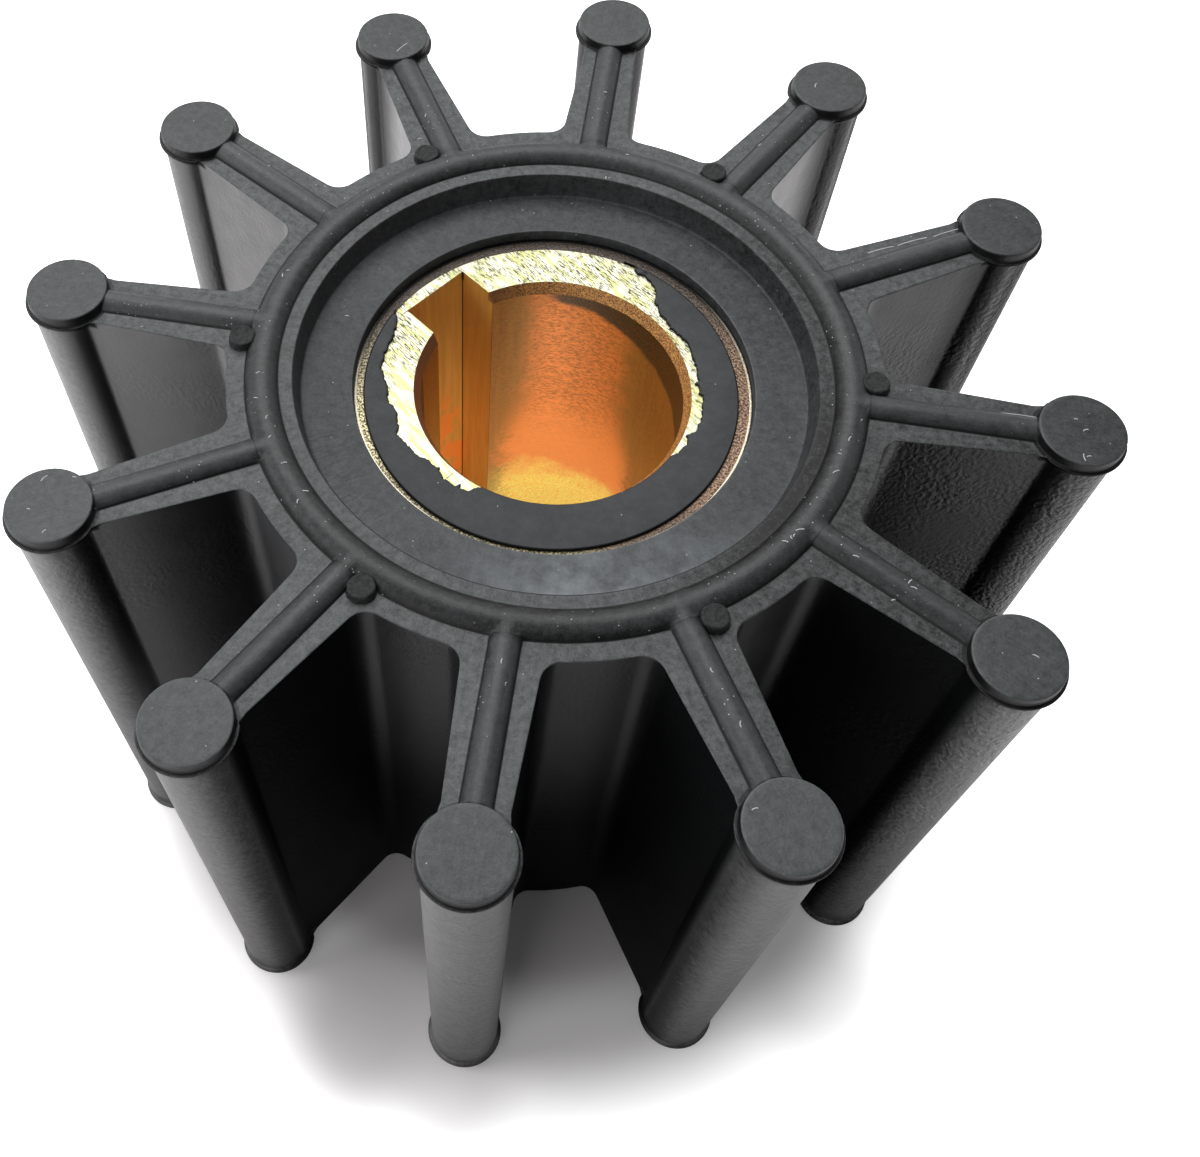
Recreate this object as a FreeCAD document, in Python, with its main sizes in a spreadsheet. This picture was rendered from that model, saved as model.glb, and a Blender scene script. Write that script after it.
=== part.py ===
import FreeCAD, Part
import math
import os
import Sketcher

# Rubber pump impeller with a bonded brass bush.
# Frame: Z is the shaft axis, Z = 0 is the plane of the lower bulb ends, one vane lies on +X.
# Both end faces carry the same discs, beads and recess, so one function draws each for both ends.

SIZES = {
    # Overall form
    "outside_diameter": 95.25,
    "overall_height": 62.5,
    "vane_count": 12,
    "hub_radius": 28.5,
    # Vane and its round tip bulb
    "vane_root_thickness": 6.5,
    "vane_tip_thickness": 5.0,
    "vane_sunk_in_hub": 2.0,
    "bulb_radius": 3.5,
    "root_fillet": 1.8,
    "tip_fillet": 0.8,
    # Disc on each bulb end, and the thin moulding lip under it
    "disc_height": 1.0,
    "disc_radius": 3.6,
    "disc_edge_round": 0.27,
    "lip_radius": 3.95,
    "lip_thickness": 0.5,
    # Half-round sealing beads on the end faces
    "bead_height": 0.9,
    "ring_bead_radius": 25.45,
    "ring_bead_width": 2.85,
    "radial_bead_width": 2.5,
    "radial_bead_drop": 0.05,
    "bead_sunk": 0.3,
    # Gate stubs on the upper end face
    "stub_count": 6,
    "stub_radius": 1.15,
    "stub_height": 0.75,
    "stub_past_ring_bead": 0.6,
    "stub_beside_vane_line": 2.2,
    "stub_sunk": 0.3,
    # Stepped recess in each end face
    "recess_rim_radius": 22.7,
    "recess_floor_radius": 22.3,
    "recess_depth": 2.4,
    "step_radius": 17.7,
    "step_depth": 1.1,
    # Brass bush
    "insert_radius": 19.05,
    "bore_radius": 11.75,
    "bore_chamfer_width": 0.6,
    "bore_chamfer_depth": 1.1,
    "keyway_width": 7.0,
    "keyway_floor_radius": 15.4,
    "keyway_angle": 143.1,
    # Rubber film left on the upper face of the bush
    "film_radius": 16.6,
    "film_thickness": 0.3,
}

# Torn edge of the film: angle in degrees round the shaft, and how far out the edge lies,
# from 0 at the bore chamfer to 1 at the film's outer edge.
# The two runs start and end outside the film, where nothing is left of it.
TORN_EDGE_RIGHT = [
    (326, -0.15), (336, 0.08), (344, 0.14), (354, 0.22), (2, 0.2), (13, 0.15), (22, 0.19),
    (30, 0.23), (37, 0.16), (44, 0.12), (50, 0.2), (55, 0.39), (58, 0.6), (62, 0.74),
    (67, 0.79), (71, 0.95), (76, 1.06),
]
TORN_EDGE_LEFT = [
    (157, 1.06), (162, 0.82), (169, 0.72), (176, 0.73), (184, 0.67), (189, 0.54), (197, 0.53),
    (201, 0.39), (210, 0.48), (217, 0.46), (222, 0.38), (226, 0.25), (232, 0.28), (240, 0.31),
    (246, 0.2), (252, -0.15),
]
TORN_OPEN_SIDE = [(95, 1.5), (117, 1.6), (138, 1.5)]
TORN_BORE_SIDE = [(289, -1.5)]

# Two places nearer than this, in mm, count as one
SAME_PLACE = 0.01


class Size:
    """A number together with the sheet expression that gives it."""

    def __init__(self, number, text):
        self.number = number
        self.text = text

    def __add__(self, other):
        other = as_size(other)
        return Size(self.number + other.number, f"({self.text} + {other.text})")

    def __sub__(self, other):
        other = as_size(other)
        return Size(self.number - other.number, f"({self.text} - {other.text})")

    def __mul__(self, other):
        other = as_size(other)
        return Size(self.number * other.number, f"({self.text} * {other.text})")

    def __truediv__(self, other):
        other = as_size(other)
        return Size(self.number / other.number, f"({self.text} / {other.text})")

    def __neg__(self):
        return Size(-self.number, f"(0 - {self.text})")

    __radd__ = __add__
    __rmul__ = __mul__


def as_size(value):
    if isinstance(value, Size):
        return value
    return Size(float(value), f"({float(value)!r})")


def root_of(size):
    return Size(math.sqrt(size.number), f"sqrt({size.text})")


def make_sheet(document):
    """Write the driving sizes in a sheet and give each cell its name."""
    sheet = document.addObject("Spreadsheet::Sheet", "Sizes")
    for row, (name, number) in enumerate(SIZES.items(), start=1):
        sheet.set(f"A{row}", name)
        sheet.set(f"B{row}", str(number))
        sheet.setAlias(f"B{row}", name)
    document.recompute()
    return {name: Size(float(number), f"Sizes.{name}") for name, number in SIZES.items()}


doc = FreeCAD.newDocument("PumpImpeller")
size = make_sheet(doc)

# Levels and radii that follow from the driving sizes
tip_circle_radius = size["outside_diameter"] / 2 - size["bulb_radius"]
face_depth = size["disc_height"] + size["recess_depth"] + size["step_depth"]
film_inner_radius = size["bore_radius"] + size["bore_chamfer_width"]
vane_height = size["overall_height"] - size["disc_height"] * 2


def height_at(end, depth):
    """Height above the lower discs of a level that lies depth below the discs of one end."""
    if end == "upper":
        return size["overall_height"] - depth
    return as_size(depth)


def make_body(label):
    body = doc.addObject("PartDesign::Body", label)
    body.Label = label
    return body


def origin_feature(body, role):
    return next(item for item in body.Origin.OriginFeatures if item.Role == role)


def make_sketch(body, role, name, shift=None):
    """Sketch on one of the body's own planes, moved by named sizes along the sketch's axes."""
    sketch = body.newObject("Sketcher::SketchObject", name)
    sketch.AttachmentSupport = [(origin_feature(body, role), "")]
    sketch.MapMode = "FlatFace"
    for axis, distance in (shift or {}).items():
        sketch.setExpression(f"AttachmentOffset.Base.{axis}", distance.text)
    return sketch


def constrain(sketch, *terms):
    """Add one dimension to a sketch and bind it to its size, which is the last term."""
    *where, distance = terms
    index = sketch.addConstraint(Sketcher.Constraint(*where, distance.number))
    sketch.setExpression(f"Constraints[{index}]", distance.text)


def pin_point(sketch, edge, vertex, point):
    """Hold an edge's vertex at a point measured from the sketch's origin."""
    for kind, axis, distance in (("DistanceX", -2, point[0]), ("DistanceY", -1, point[1])):
        distance = as_size(distance)
        if distance.number == 0:
            sketch.addConstraint(Sketcher.Constraint("PointOnObject", edge, vertex, axis))
        else:
            constrain(sketch, kind, -1, 1, edge, vertex, distance)


def as_vector(point):
    return FreeCAD.Vector(as_size(point[0]).number, as_size(point[1]).number, 0)


def make_arc(start, end, arc):
    """Arc from start to end round a centre. It also tells which vertex is which."""
    centre, radius, turns_left = arc
    middle = as_vector(centre)
    angles = []
    for point in (start, end):
        offset = as_vector(point) - middle
        angles.append(math.atan2(offset.y, offset.x))
    if not turns_left:
        angles.reverse()
    if angles[1] <= angles[0]:
        angles[1] += 2 * math.pi
    circle = Part.Circle(middle, FreeCAD.Vector(0, 0, 1), radius.number)
    vertices = (1, 2) if turns_left else (2, 1)
    return Part.ArcOfCircle(circle, *angles), vertices


def draw_outline(sketch, corners, arcs=None):
    """Close an outline through its corners. arcs holds the edges that are round, by number."""
    arcs = arcs or {}
    edges = []
    for number, start in enumerate(corners):
        end = corners[(number + 1) % len(corners)]
        if number in arcs:
            shape, vertices = make_arc(start, end, arcs[number])
        else:
            shape, vertices = Part.LineSegment(as_vector(start), as_vector(end)), (1, 2)
        edges.append((sketch.addGeometry(shape, False), vertices))
    for number, (edge, vertices) in enumerate(edges):
        next_edge, next_vertices = edges[(number + 1) % len(edges)]
        sketch.addConstraint(
            Sketcher.Constraint("Coincident", edge, vertices[1], next_edge, next_vertices[0])
        )
        pin_point(sketch, edge, vertices[0], corners[number])
        if number in arcs:
            constrain(sketch, "Radius", edge, arcs[number][1])


def draw_circle(sketch, centre, radius):
    shape = Part.Circle(as_vector(centre), FreeCAD.Vector(0, 0, 1), radius.number)
    circle = sketch.addGeometry(shape, False)
    pin_point(sketch, circle, 3, centre)
    constrain(sketch, "Radius", circle, radius)


def pad(body, name, sketch, length):
    feature = body.newObject("PartDesign::Pad", name)
    feature.Profile = sketch
    feature.setExpression("Length", length.text)
    return feature


def revolve(body, name, sketch):
    """Turn a sketch a full turn round its own upright axis."""
    feature = body.newObject("PartDesign::Revolution", name)
    feature.Profile = sketch
    feature.ReferenceAxis = (sketch, ["V_Axis"])
    feature.Angle = 360
    return feature


def cut_through(body, name, sketch):
    feature = body.newObject("PartDesign::Pocket", name)
    feature.Profile = sketch
    feature.Type = "ThroughAll"
    feature.Midplane = True
    return feature


def repeat_round(body, name, features, count):
    """Repeat features round the shaft axis."""
    feature = body.newObject("PartDesign::PolarPattern", name)
    feature.Originals = features
    feature.Axis = (origin_feature(body, "Z_Axis"), [""])
    feature.Angle = 360
    feature.setExpression("Occurrences", count.text)
    body.Tip = feature
    doc.recompute()
    return feature


def upright_edges(shape, radius):
    """Names of the straight edges that stand upright at one distance from the shaft axis."""
    names = []
    for number, edge in enumerate(shape.Edges, start=1):
        first = edge.Vertexes[0].Point
        last = edge.Vertexes[-1].Point
        side_step = math.hypot(last.x - first.x, last.y - first.y)
        off_radius = abs(math.hypot(first.x, first.y) - radius)
        if first.z != last.z and side_step < SAME_PLACE and off_radius < SAME_PLACE:
            names.append(f"Edge{number}")
    return names


def round_edges(body, name, base, edge_names, radius):
    feature = body.newObject("PartDesign::Fillet", name)
    feature.Base = (base, edge_names)
    feature.setExpression("Radius", radius.text)
    body.Tip = feature
    doc.recompute()
    return feature


# Rubber moulding: hub, vanes with bulbs, discs, beads and gate stubs
moulding = make_body("rubber_moulding")

hub_section = make_sketch(moulding, "XZ_Plane", "hub_section")


def hub_half_section(end):
    """Corners of the hub's section at one end, from the outside inwards."""
    web = size["disc_height"]
    floor = web + size["recess_depth"]
    return [
        (size["hub_radius"], height_at(end, web)),
        (size["recess_rim_radius"], height_at(end, web)),
        (size["recess_floor_radius"], height_at(end, floor)),
        (size["step_radius"], height_at(end, floor)),
        (size["step_radius"], height_at(end, face_depth)),
        (size["insert_radius"], height_at(end, face_depth)),
    ]


draw_outline(hub_section, hub_half_section("upper") + hub_half_section("lower")[::-1])
revolve(moulding, "hub", hub_section)

# One vane: its flanks taper from the hub to the bulb, and the bulb closes its outer end
vane_outline = make_sketch(moulding, "XY_Plane", "vane_outline", {"z": size["disc_height"]})
vane_inner_end = size["hub_radius"] - size["vane_sunk_in_hub"]
half_root = size["vane_root_thickness"] / 2
half_tip = size["vane_tip_thickness"] / 2
bulb_reach = root_of(size["bulb_radius"] * size["bulb_radius"] - half_tip * half_tip)
bulb_start = tip_circle_radius - bulb_reach
draw_outline(
    vane_outline,
    [
        (vane_inner_end, -half_root),
        (bulb_start, -half_tip),
        (bulb_start, half_tip),
        (vane_inner_end, half_root),
    ],
    {1: ((tip_circle_radius, 0), size["bulb_radius"], True)},
)
vane = pad(moulding, "vane", vane_outline, vane_height)
vanes = repeat_round(moulding, "vanes", [vane], size["vane_count"])

# Fillets where the vanes leave the hub and where they run into their bulbs
hub_corners = upright_edges(vanes.Shape, size["hub_radius"].number)
root_fillets = round_edges(moulding, "root_fillets", vanes, hub_corners, size["root_fillet"])
bulb_corner_radius = math.hypot(bulb_start.number, half_tip.number)
bulb_corners = upright_edges(root_fillets.Shape, bulb_corner_radius)
tip_fillets = round_edges(moulding, "tip_fillets", root_fillets, bulb_corners, size["tip_fillet"])


def draw_disc(end):
    """Half section of a bulb's end disc and its lip, from the bulb's own axis outwards."""
    sketch = make_sketch(moulding, "XZ_Plane", f"{end}_disc_section", {"x": tip_circle_radius})
    flat_radius = size["disc_radius"] - size["disc_edge_round"]
    lip_base = height_at(end, size["disc_height"] + size["lip_thickness"])
    web = height_at(end, size["disc_height"])
    round_start = height_at(end, size["disc_edge_round"])
    top = height_at(end, 0)
    corners = [
        (0, lip_base),
        (size["bulb_radius"], lip_base),
        (size["lip_radius"], web),
        (size["disc_radius"], web),
        (size["disc_radius"], round_start),
        (flat_radius, top),
        (0, top),
    ]
    edge_round = ((flat_radius, round_start), size["disc_edge_round"], end == "upper")
    draw_outline(sketch, corners, {4: edge_round})
    return revolve(moulding, f"{end}_disc", sketch)


def draw_bead_section(sketch, end, middle, width, height):
    """Half-round bead on the end face, sunk a little so that it grows out of the web."""
    web = size["disc_height"]
    radius = (width * width / 4 + height * height) / (height * 2)
    centre = (middle, height_at(end, web - height + radius))
    low_x = middle - width / 2
    high_x = middle + width / 2
    foot = height_at(end, web + size["bead_sunk"])
    corners = [
        (low_x, foot),
        (high_x, foot),
        (high_x, height_at(end, web)),
        (low_x, height_at(end, web)),
    ]
    draw_outline(sketch, corners, {2: (centre, radius, end == "upper")})


def draw_radial_bead(end):
    shift = {"z": size["ring_bead_radius"]}
    sketch = make_sketch(moulding, "YZ_Plane", f"{end}_radial_bead_section", shift)
    height = size["bead_height"] - size["radial_bead_drop"]
    draw_bead_section(sketch, end, as_size(0), size["radial_bead_width"], height)
    return pad(moulding, f"{end}_radial_bead", sketch, tip_circle_radius - size["ring_bead_radius"])


end_details = []
for end in ("upper", "lower"):
    end_details.append(draw_disc(end))
    end_details.append(draw_radial_bead(end))
repeat_round(moulding, "vane_end_details", end_details, size["vane_count"])

for end in ("upper", "lower"):
    ring_section = make_sketch(moulding, "XZ_Plane", f"{end}_ring_bead_section")
    ring_size = (size["ring_bead_radius"], size["ring_bead_width"], size["bead_height"])
    draw_bead_section(ring_section, end, *ring_size)
    revolve(moulding, f"{end}_ring_bead", ring_section)

# Gate stubs stand where every second radial bead leaves the ring bead
stub_foot = height_at("upper", size["disc_height"] + size["stub_sunk"])
stub_outline = make_sketch(moulding, "XY_Plane", "stub_outline", {"z": stub_foot})
stub_distance = size["ring_bead_radius"] + size["ring_bead_width"] / 2 + size["stub_past_ring_bead"]
draw_circle(stub_outline, (stub_distance, size["stub_beside_vane_line"]), size["stub_radius"])
stub = pad(moulding, "gate_stub", stub_outline, size["stub_height"] + size["stub_sunk"])
repeat_round(moulding, "gate_stubs", [stub], size["stub_count"])

# Brass bush: drawn with its keyway on +X, then turned to the keyway's place between two vanes
insert = make_body("brass_insert")
insert_section = make_sketch(insert, "XZ_Plane", "insert_section")


def insert_half_section(end):
    """Corners of the bush's section at one end, from the outside inwards."""
    return [
        (size["insert_radius"], height_at(end, face_depth)),
        (film_inner_radius, height_at(end, face_depth)),
        (size["bore_radius"], height_at(end, face_depth + size["bore_chamfer_depth"])),
    ]


draw_outline(insert_section, insert_half_section("upper") + insert_half_section("lower")[::-1])
revolve(insert, "bush", insert_section)
keyway_outline = make_sketch(insert, "XY_Plane", "keyway_outline")
half_keyway = size["keyway_width"] / 2
draw_outline(
    keyway_outline,
    [
        (0, -half_keyway),
        (size["keyway_floor_radius"], -half_keyway),
        (size["keyway_floor_radius"], half_keyway),
        (0, half_keyway),
    ],
)
cut_through(insert, "keyway", keyway_outline)
insert.setExpression("Placement.Rotation.Angle", size["keyway_angle"].text)

# Rubber film on the upper face of the bush, torn away round the keyway
film = make_body("torn_face_film")
film_level = height_at("upper", face_depth)
film_outline = make_sketch(film, "XY_Plane", "film_outline", {"z": film_level})
draw_circle(film_outline, (0, 0), size["film_radius"])
draw_circle(film_outline, (0, 0), film_inner_radius)
pad(film, "whole_film", film_outline, size["film_thickness"])


def torn_point(angle, share):
    """Point of the tear at an angle, a share of the way from the bore to the film's rim."""
    distance = film_inner_radius + (size["film_radius"] - film_inner_radius) * share
    return (distance * math.cos(math.radians(angle)), distance * math.sin(math.radians(angle)))


tear_outline = make_sketch(film, "XY_Plane", "tear_outline", {"z": film_level})
tear = TORN_EDGE_RIGHT + TORN_OPEN_SIDE + TORN_EDGE_LEFT + TORN_BORE_SIDE
draw_outline(tear_outline, [torn_point(angle, share) for angle, share in tear])
cut_through(film, "torn_away", tear_outline)

doc.recompute()

SUB_PARTS = (moulding, insert, film)

for item in doc.Objects:
    if "Invalid" in item.State or "Error" in item.State:
        raise RuntimeError(f"{item.Label} failed: {item.State}")
for sub_part in SUB_PARTS:
    shape = sub_part.Shape
    if shape.isNull() or not shape.isValid():
        raise RuntimeError(f"{sub_part.Label} has no valid shape")

os.makedirs("parts", exist_ok=True)
for sub_part in SUB_PARTS:
    shape = sub_part.Shape
    shape.exportStep(f"parts/{sub_part.Label}.step")
    print(sub_part.Label, len(shape.Solids), "solid,", round(shape.Volume, 1), "mm3")
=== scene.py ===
# %% [markdown]
# # A rubber pump impeller with a brass bush
# The wheel of a small raw water pump. It is one rubber moulding: a hub with twelve straight
# vanes, each closed by a round bulb, bonded round a brass bush. This lesson dresses the packed
# CAD model of it. Every length is in metres, and every piece stays in the CAD model's frame:
# Z is the shaft axis, Z = 0 is the surface that the wheel stands on, and one vane lies on +X.

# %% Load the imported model
import math

import bmesh
import bpy
import numpy as np
from mathutils import Matrix, Vector, noise
from mathutils.geometry import delaunay_2d_cdt


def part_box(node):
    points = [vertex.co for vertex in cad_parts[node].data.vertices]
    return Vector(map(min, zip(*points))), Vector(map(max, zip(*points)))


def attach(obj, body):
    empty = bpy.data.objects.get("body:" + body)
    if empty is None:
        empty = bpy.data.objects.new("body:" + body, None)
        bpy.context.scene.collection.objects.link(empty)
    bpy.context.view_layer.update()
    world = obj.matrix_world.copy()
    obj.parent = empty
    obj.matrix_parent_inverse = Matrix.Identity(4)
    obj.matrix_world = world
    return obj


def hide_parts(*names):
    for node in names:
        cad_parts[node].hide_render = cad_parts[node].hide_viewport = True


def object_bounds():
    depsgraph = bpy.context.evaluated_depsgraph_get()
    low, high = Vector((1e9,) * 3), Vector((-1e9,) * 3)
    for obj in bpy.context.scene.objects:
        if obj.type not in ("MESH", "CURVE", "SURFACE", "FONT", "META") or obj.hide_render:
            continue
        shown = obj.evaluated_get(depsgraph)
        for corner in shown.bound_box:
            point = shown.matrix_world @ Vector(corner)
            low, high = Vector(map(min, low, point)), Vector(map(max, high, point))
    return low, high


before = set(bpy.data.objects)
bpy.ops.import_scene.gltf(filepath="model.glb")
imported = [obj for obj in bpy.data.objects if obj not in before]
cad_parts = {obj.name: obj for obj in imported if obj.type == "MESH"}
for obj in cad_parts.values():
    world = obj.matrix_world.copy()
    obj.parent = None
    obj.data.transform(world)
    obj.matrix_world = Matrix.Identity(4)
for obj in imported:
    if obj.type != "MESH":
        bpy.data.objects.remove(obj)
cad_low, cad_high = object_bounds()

MM = 0.001
print("CAD box in mm:", [round(c / MM, 2) for c in (*cad_low, *cad_high)])

# %% [markdown]
# ## Node trees as expressions
# A material or a Geometry Nodes tree is a graph of boxes and wires. It could be wired by hand,
# one link a line, but that is hard to read. Here a small class wraps one socket and overloads
# the arithmetic signs, so that `1 - mask * 0.4` adds its own Math nodes. Every other node comes
# from a single method that takes the node's type, its settings and its inputs.

# %% A socket that takes part in arithmetic
class Wire:
    """An output socket. Arithmetic on it adds Math nodes to its tree."""

    def __init__(self, graph, socket):
        self.graph = graph
        self.socket = socket

    def math(self, operation, *others):
        terms = dict(enumerate((self, *others)))
        return self.graph.node("ShaderNodeMath", {"operation": operation}, terms)["Value"]

    def flipped(self, operation, first):
        terms = {0: first, 1: self}
        return self.graph.node("ShaderNodeMath", {"operation": operation}, terms)["Value"]

    def __add__(self, other):
        return self.math("ADD", other)

    def __sub__(self, other):
        return self.math("SUBTRACT", other)

    def __mul__(self, other):
        return self.math("MULTIPLY", other)

    def __truediv__(self, other):
        return self.math("DIVIDE", other)

    def __pow__(self, other):
        return self.math("POWER", other)

    def __rsub__(self, other):
        return self.flipped("SUBTRACT", other)

    def __rtruediv__(self, other):
        return self.flipped("DIVIDE", other)

    __radd__ = __add__
    __rmul__ = __mul__


class Graph:
    """A node tree that is written as expressions."""

    def __init__(self, tree):
        self.tree = tree
        tree.nodes.clear()

    def node(self, kind, settings=None, inputs=None):
        """Add a node: first its settings, then the value or the link of each of its sockets."""
        made = self.tree.nodes.new(kind)
        for name, value in (settings or {}).items():
            setattr(made, name, value)
        for key, value in (inputs or {}).items():
            if isinstance(value, Wire):
                self.tree.links.new(value.socket, made.inputs[key])
            else:
                made.inputs[key].default_value = value
        return {
            key: Wire(self, socket)
            for number, socket in enumerate(made.outputs)
            for key in (socket.name, number)
            if socket.enabled
        }


def paint(code):
    """A screen colour such as "4a4c4b" as the linear colour that Blender mixes."""
    parts = [int(code[i : i + 2], 16) / 255 for i in (0, 2, 4)]
    return (*[p / 12.92 if p <= 0.04045 else ((p + 0.055) / 1.055) ** 2.4 for p in parts], 1.0)


print("mid grey rubber:", [round(c, 3) for c in paint("4a4c4b")])

# %% Patterns that several finishes share
class Finish(Graph):
    """A material whose patterns follow the piece's own coordinates, in millimetres."""

    def __init__(self, name):
        self.material = bpy.data.materials.new(name)
        self.material.use_nodes = True
        super().__init__(self.material.node_tree)
        place = self.node("ShaderNodeTexCoord")["Object"]
        self.place = self.scaled(place, 1 / MM)
        axes = self.node("ShaderNodeSeparateXYZ", None, {0: self.place})
        self.x, self.y, self.z = axes["X"], axes["Y"], axes["Z"]

    def scaled(self, vector, factor):
        """A vector times one number."""
        inputs = {0: vector, 1: (factor,) * 3}
        return self.node("ShaderNodeVectorMath", {"operation": "MULTIPLY"}, inputs)["Vector"]

    def vector(self, x, y, z):
        return self.node("ShaderNodeCombineXYZ", None, {"X": x, "Y": y, "Z": z})["Vector"]

    def noise(self, size, detail=2.0, rough=0.5, at=None):
        """Cloudy noise from 0 to 1, whose blots are about size millimetres wide."""
        where = self.scaled(at or self.place, 1 / size)
        inputs = {"Vector": where, "Scale": 1.0, "Detail": detail, "Roughness": rough}
        return self.node("ShaderNodeTexNoise", None, inputs)["Fac"]

    def rise(self, value, low, high):
        """0 below low, 1 above high and a smooth step between them."""
        inputs = {"Value": value, "From Min": low, "From Max": high}
        settings = {"interpolation_type": "SMOOTHSTEP"}
        return self.node("ShaderNodeMapRange", settings, inputs)["Result"]

    def fall(self, value, low, high):
        return 1 - self.rise(value, low, high)

    def band(self, value, low, high, soft):
        """1 between low and high, with edges as wide as soft."""
        return self.rise(value, low - soft / 2, low + soft / 2) * self.fall(
            value, high - soft / 2, high + soft / 2
        )

    def mix(self, share, first, second):
        """Colour first where share is 0, second where it is 1."""
        inputs = {0: share, 6: first, 7: second}
        return self.node("ShaderNodeMix", {"data_type": "RGBA"}, inputs)[2]

    def shaded(self, colour, factor):
        """A colour made lighter or darker by a varying factor."""
        inputs = {0: colour, "Scale": factor}
        return self.node("ShaderNodeVectorMath", {"operation": "SCALE"}, inputs)["Vector"]

    def bump(self, height):
        """A normal for a relief that is given in millimetres."""
        return self.node("ShaderNodeBump", None, {"Height": height, "Distance": MM})["Normal"]

    def shader(self, **inputs):
        """A Principled shader. An underscore stands for the space in a socket's name."""
        named = {key.replace("_", " "): value for key, value in inputs.items()}
        return self.node("ShaderNodeBsdfPrincipled", None, named)["BSDF"]

    def end(self, share, first, second):
        """End the material in the first shader where share is 0 and the second where it is 1."""
        both = self.node("ShaderNodeMixShader", None, {0: share, 1: first, 2: second})[0]
        self.node("ShaderNodeOutputMaterial", None, {"Surface": both})
        return self.material

    def surface(self, **inputs):
        """End the material in one Principled shader."""
        self.node("ShaderNodeOutputMaterial", None, {"Surface": self.shader(**inputs)})
        return self.material


print("shared patterns: noise, rise, fall, band, mix, bump")

# %% [markdown]
# ## Where the camera stands
# The wheel was seen from close by and from above, so its near bulbs look much larger than its
# far ones. The camera is placed by its distance and direction from the middle of the upper
# face, and then turned a little aside, because the wheel isn't in the middle of its field.

# %% The camera
PICTURE_WIDTH, PICTURE_HEIGHT = 1200, 1157
FOCAL_PIXELS = 1358.4
OPTICAL_MIDDLE = (443.8, 507.7)
CAMERA_DISTANCE = 118.15 * MM
CAMERA_ELEVATION = 0.903
CAMERA_AZIMUTH = math.radians(3.6)
TURNED_ASIDE = -0.135 - CAMERA_AZIMUTH
TURNED_DOWN = 0.114
ROLLED = 0.019
SENSOR_WIDTH = 36.0


def make_camera():
    """Camera at the side of the wheel where the near bulbs are."""
    dip = CAMERA_ELEVATION + TURNED_DOWN
    forward = Vector((
        math.sin(TURNED_ASIDE) * math.cos(dip),
        math.cos(TURNED_ASIDE) * math.cos(dip),
        -math.sin(dip),
    ))
    level = Vector((math.cos(TURNED_ASIDE), -math.sin(TURNED_ASIDE), 0))
    down = forward.cross(level)
    right = level * math.cos(ROLLED) + down * math.sin(ROLLED)
    up = level * math.sin(ROLLED) - down * math.cos(ROLLED)
    out = Vector((
        math.sin(CAMERA_AZIMUTH) * math.cos(CAMERA_ELEVATION),
        -math.cos(CAMERA_AZIMUTH) * math.cos(CAMERA_ELEVATION),
        math.sin(CAMERA_ELEVATION),
    ))
    data = bpy.data.cameras.new("camera")
    data.sensor_width = SENSOR_WIDTH
    data.lens = SENSOR_WIDTH * FOCAL_PIXELS / PICTURE_WIDTH
    data.shift_x = (PICTURE_WIDTH / 2 - OPTICAL_MIDDLE[0]) / PICTURE_WIDTH
    data.shift_y = (OPTICAL_MIDDLE[1] - PICTURE_HEIGHT / 2) / PICTURE_WIDTH
    data.clip_start = 5 * MM
    camera = bpy.data.objects.new("camera", data)
    camera.matrix_world = Matrix((right, up, -forward)).transposed().to_4x4()
    camera.location = Vector((0, 0, cad_high.z)) + out * CAMERA_DISTANCE
    bpy.context.scene.collection.objects.link(camera)
    bpy.context.scene.camera = camera
    return camera


camera = make_camera()
print("camera at", [round(c / MM, 1) for c in camera.location], "mm, lens", round(camera.data.lens, 2))

# %% [markdown]
# ## The sizes of the moulding
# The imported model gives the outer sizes: the boxes of its nodes are read here. The sizes of the
# small forms on the end faces can't be read from a box, so they are named values, the same as in
# the model: beads, discs, the lip under each disc and the stepped recess round the bush.

# %% Sizes
brass_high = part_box("brass_insert")[1]
film_low, film_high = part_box("torn_face_film")

HEIGHT = cad_high.z / MM
VANE_COUNT = 12
HALF_SECTOR = math.pi / VANE_COUNT
LIP_RADIUS = 3.95
BULB_RADIUS = 3.5
TIP_CIRCLE = cad_high.x / MM - LIP_RADIUS
SKIN_ROOM = 0.03
HUB_RADIUS = 28.5
HALF_ROOT = 3.25
HALF_TIP = 2.5
VANE_INNER_END = HUB_RADIUS - 2.0
ROOT_FILLET = 1.8
TIP_FILLET = 0.8
DISC_RADIUS = 3.6
DISC_HEIGHT = 1.0
DISC_ROUND = 0.16
LIP_THICKNESS = 0.5
RING_BEAD_RADIUS = 25.45
RING_BEAD = (2.85, 0.9)
RADIAL_BEAD = (2.5, 0.85)
RECESS_RIM = 22.7
RECESS_FLOOR_RADIUS = 22.3
RECESS_DEPTH = 2.4
STEP_RADIUS = 17.7
INSERT_RADIUS = brass_high.x / MM
FACE_DEPTH = (cad_high.z - brass_high.z) / MM - DISC_HEIGHT
EDGE = 0.07
WEB = HEIGHT - DISC_HEIGHT
print("tip circle", round(TIP_CIRCLE, 3), "brass face lies", round(FACE_DEPTH, 2), "under the web")

# %% [markdown]
# ## Half a sector of the moulding, drawn in plan
# A moulding tool is cut as one vane with its share of the hub, turned and repeated. The mesh is
# made the same way. Seen from above, half of one sector is bounded by the hub's arc, a concave
# root fillet, the straight flank, a smaller fillet and the bulb's arc. Each stretch is a line or
# an arc, so its points and their outward directions come from a formula, evenly spaced.

# %% The outline from the sector's edge to the bulb's outermost point
HUB_STEP, ROOT_STEP, FLANK_STEP, TIP_STEP, BULB_STEP = 0.7, 0.28, 0.8, 0.16, 0.34


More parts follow.
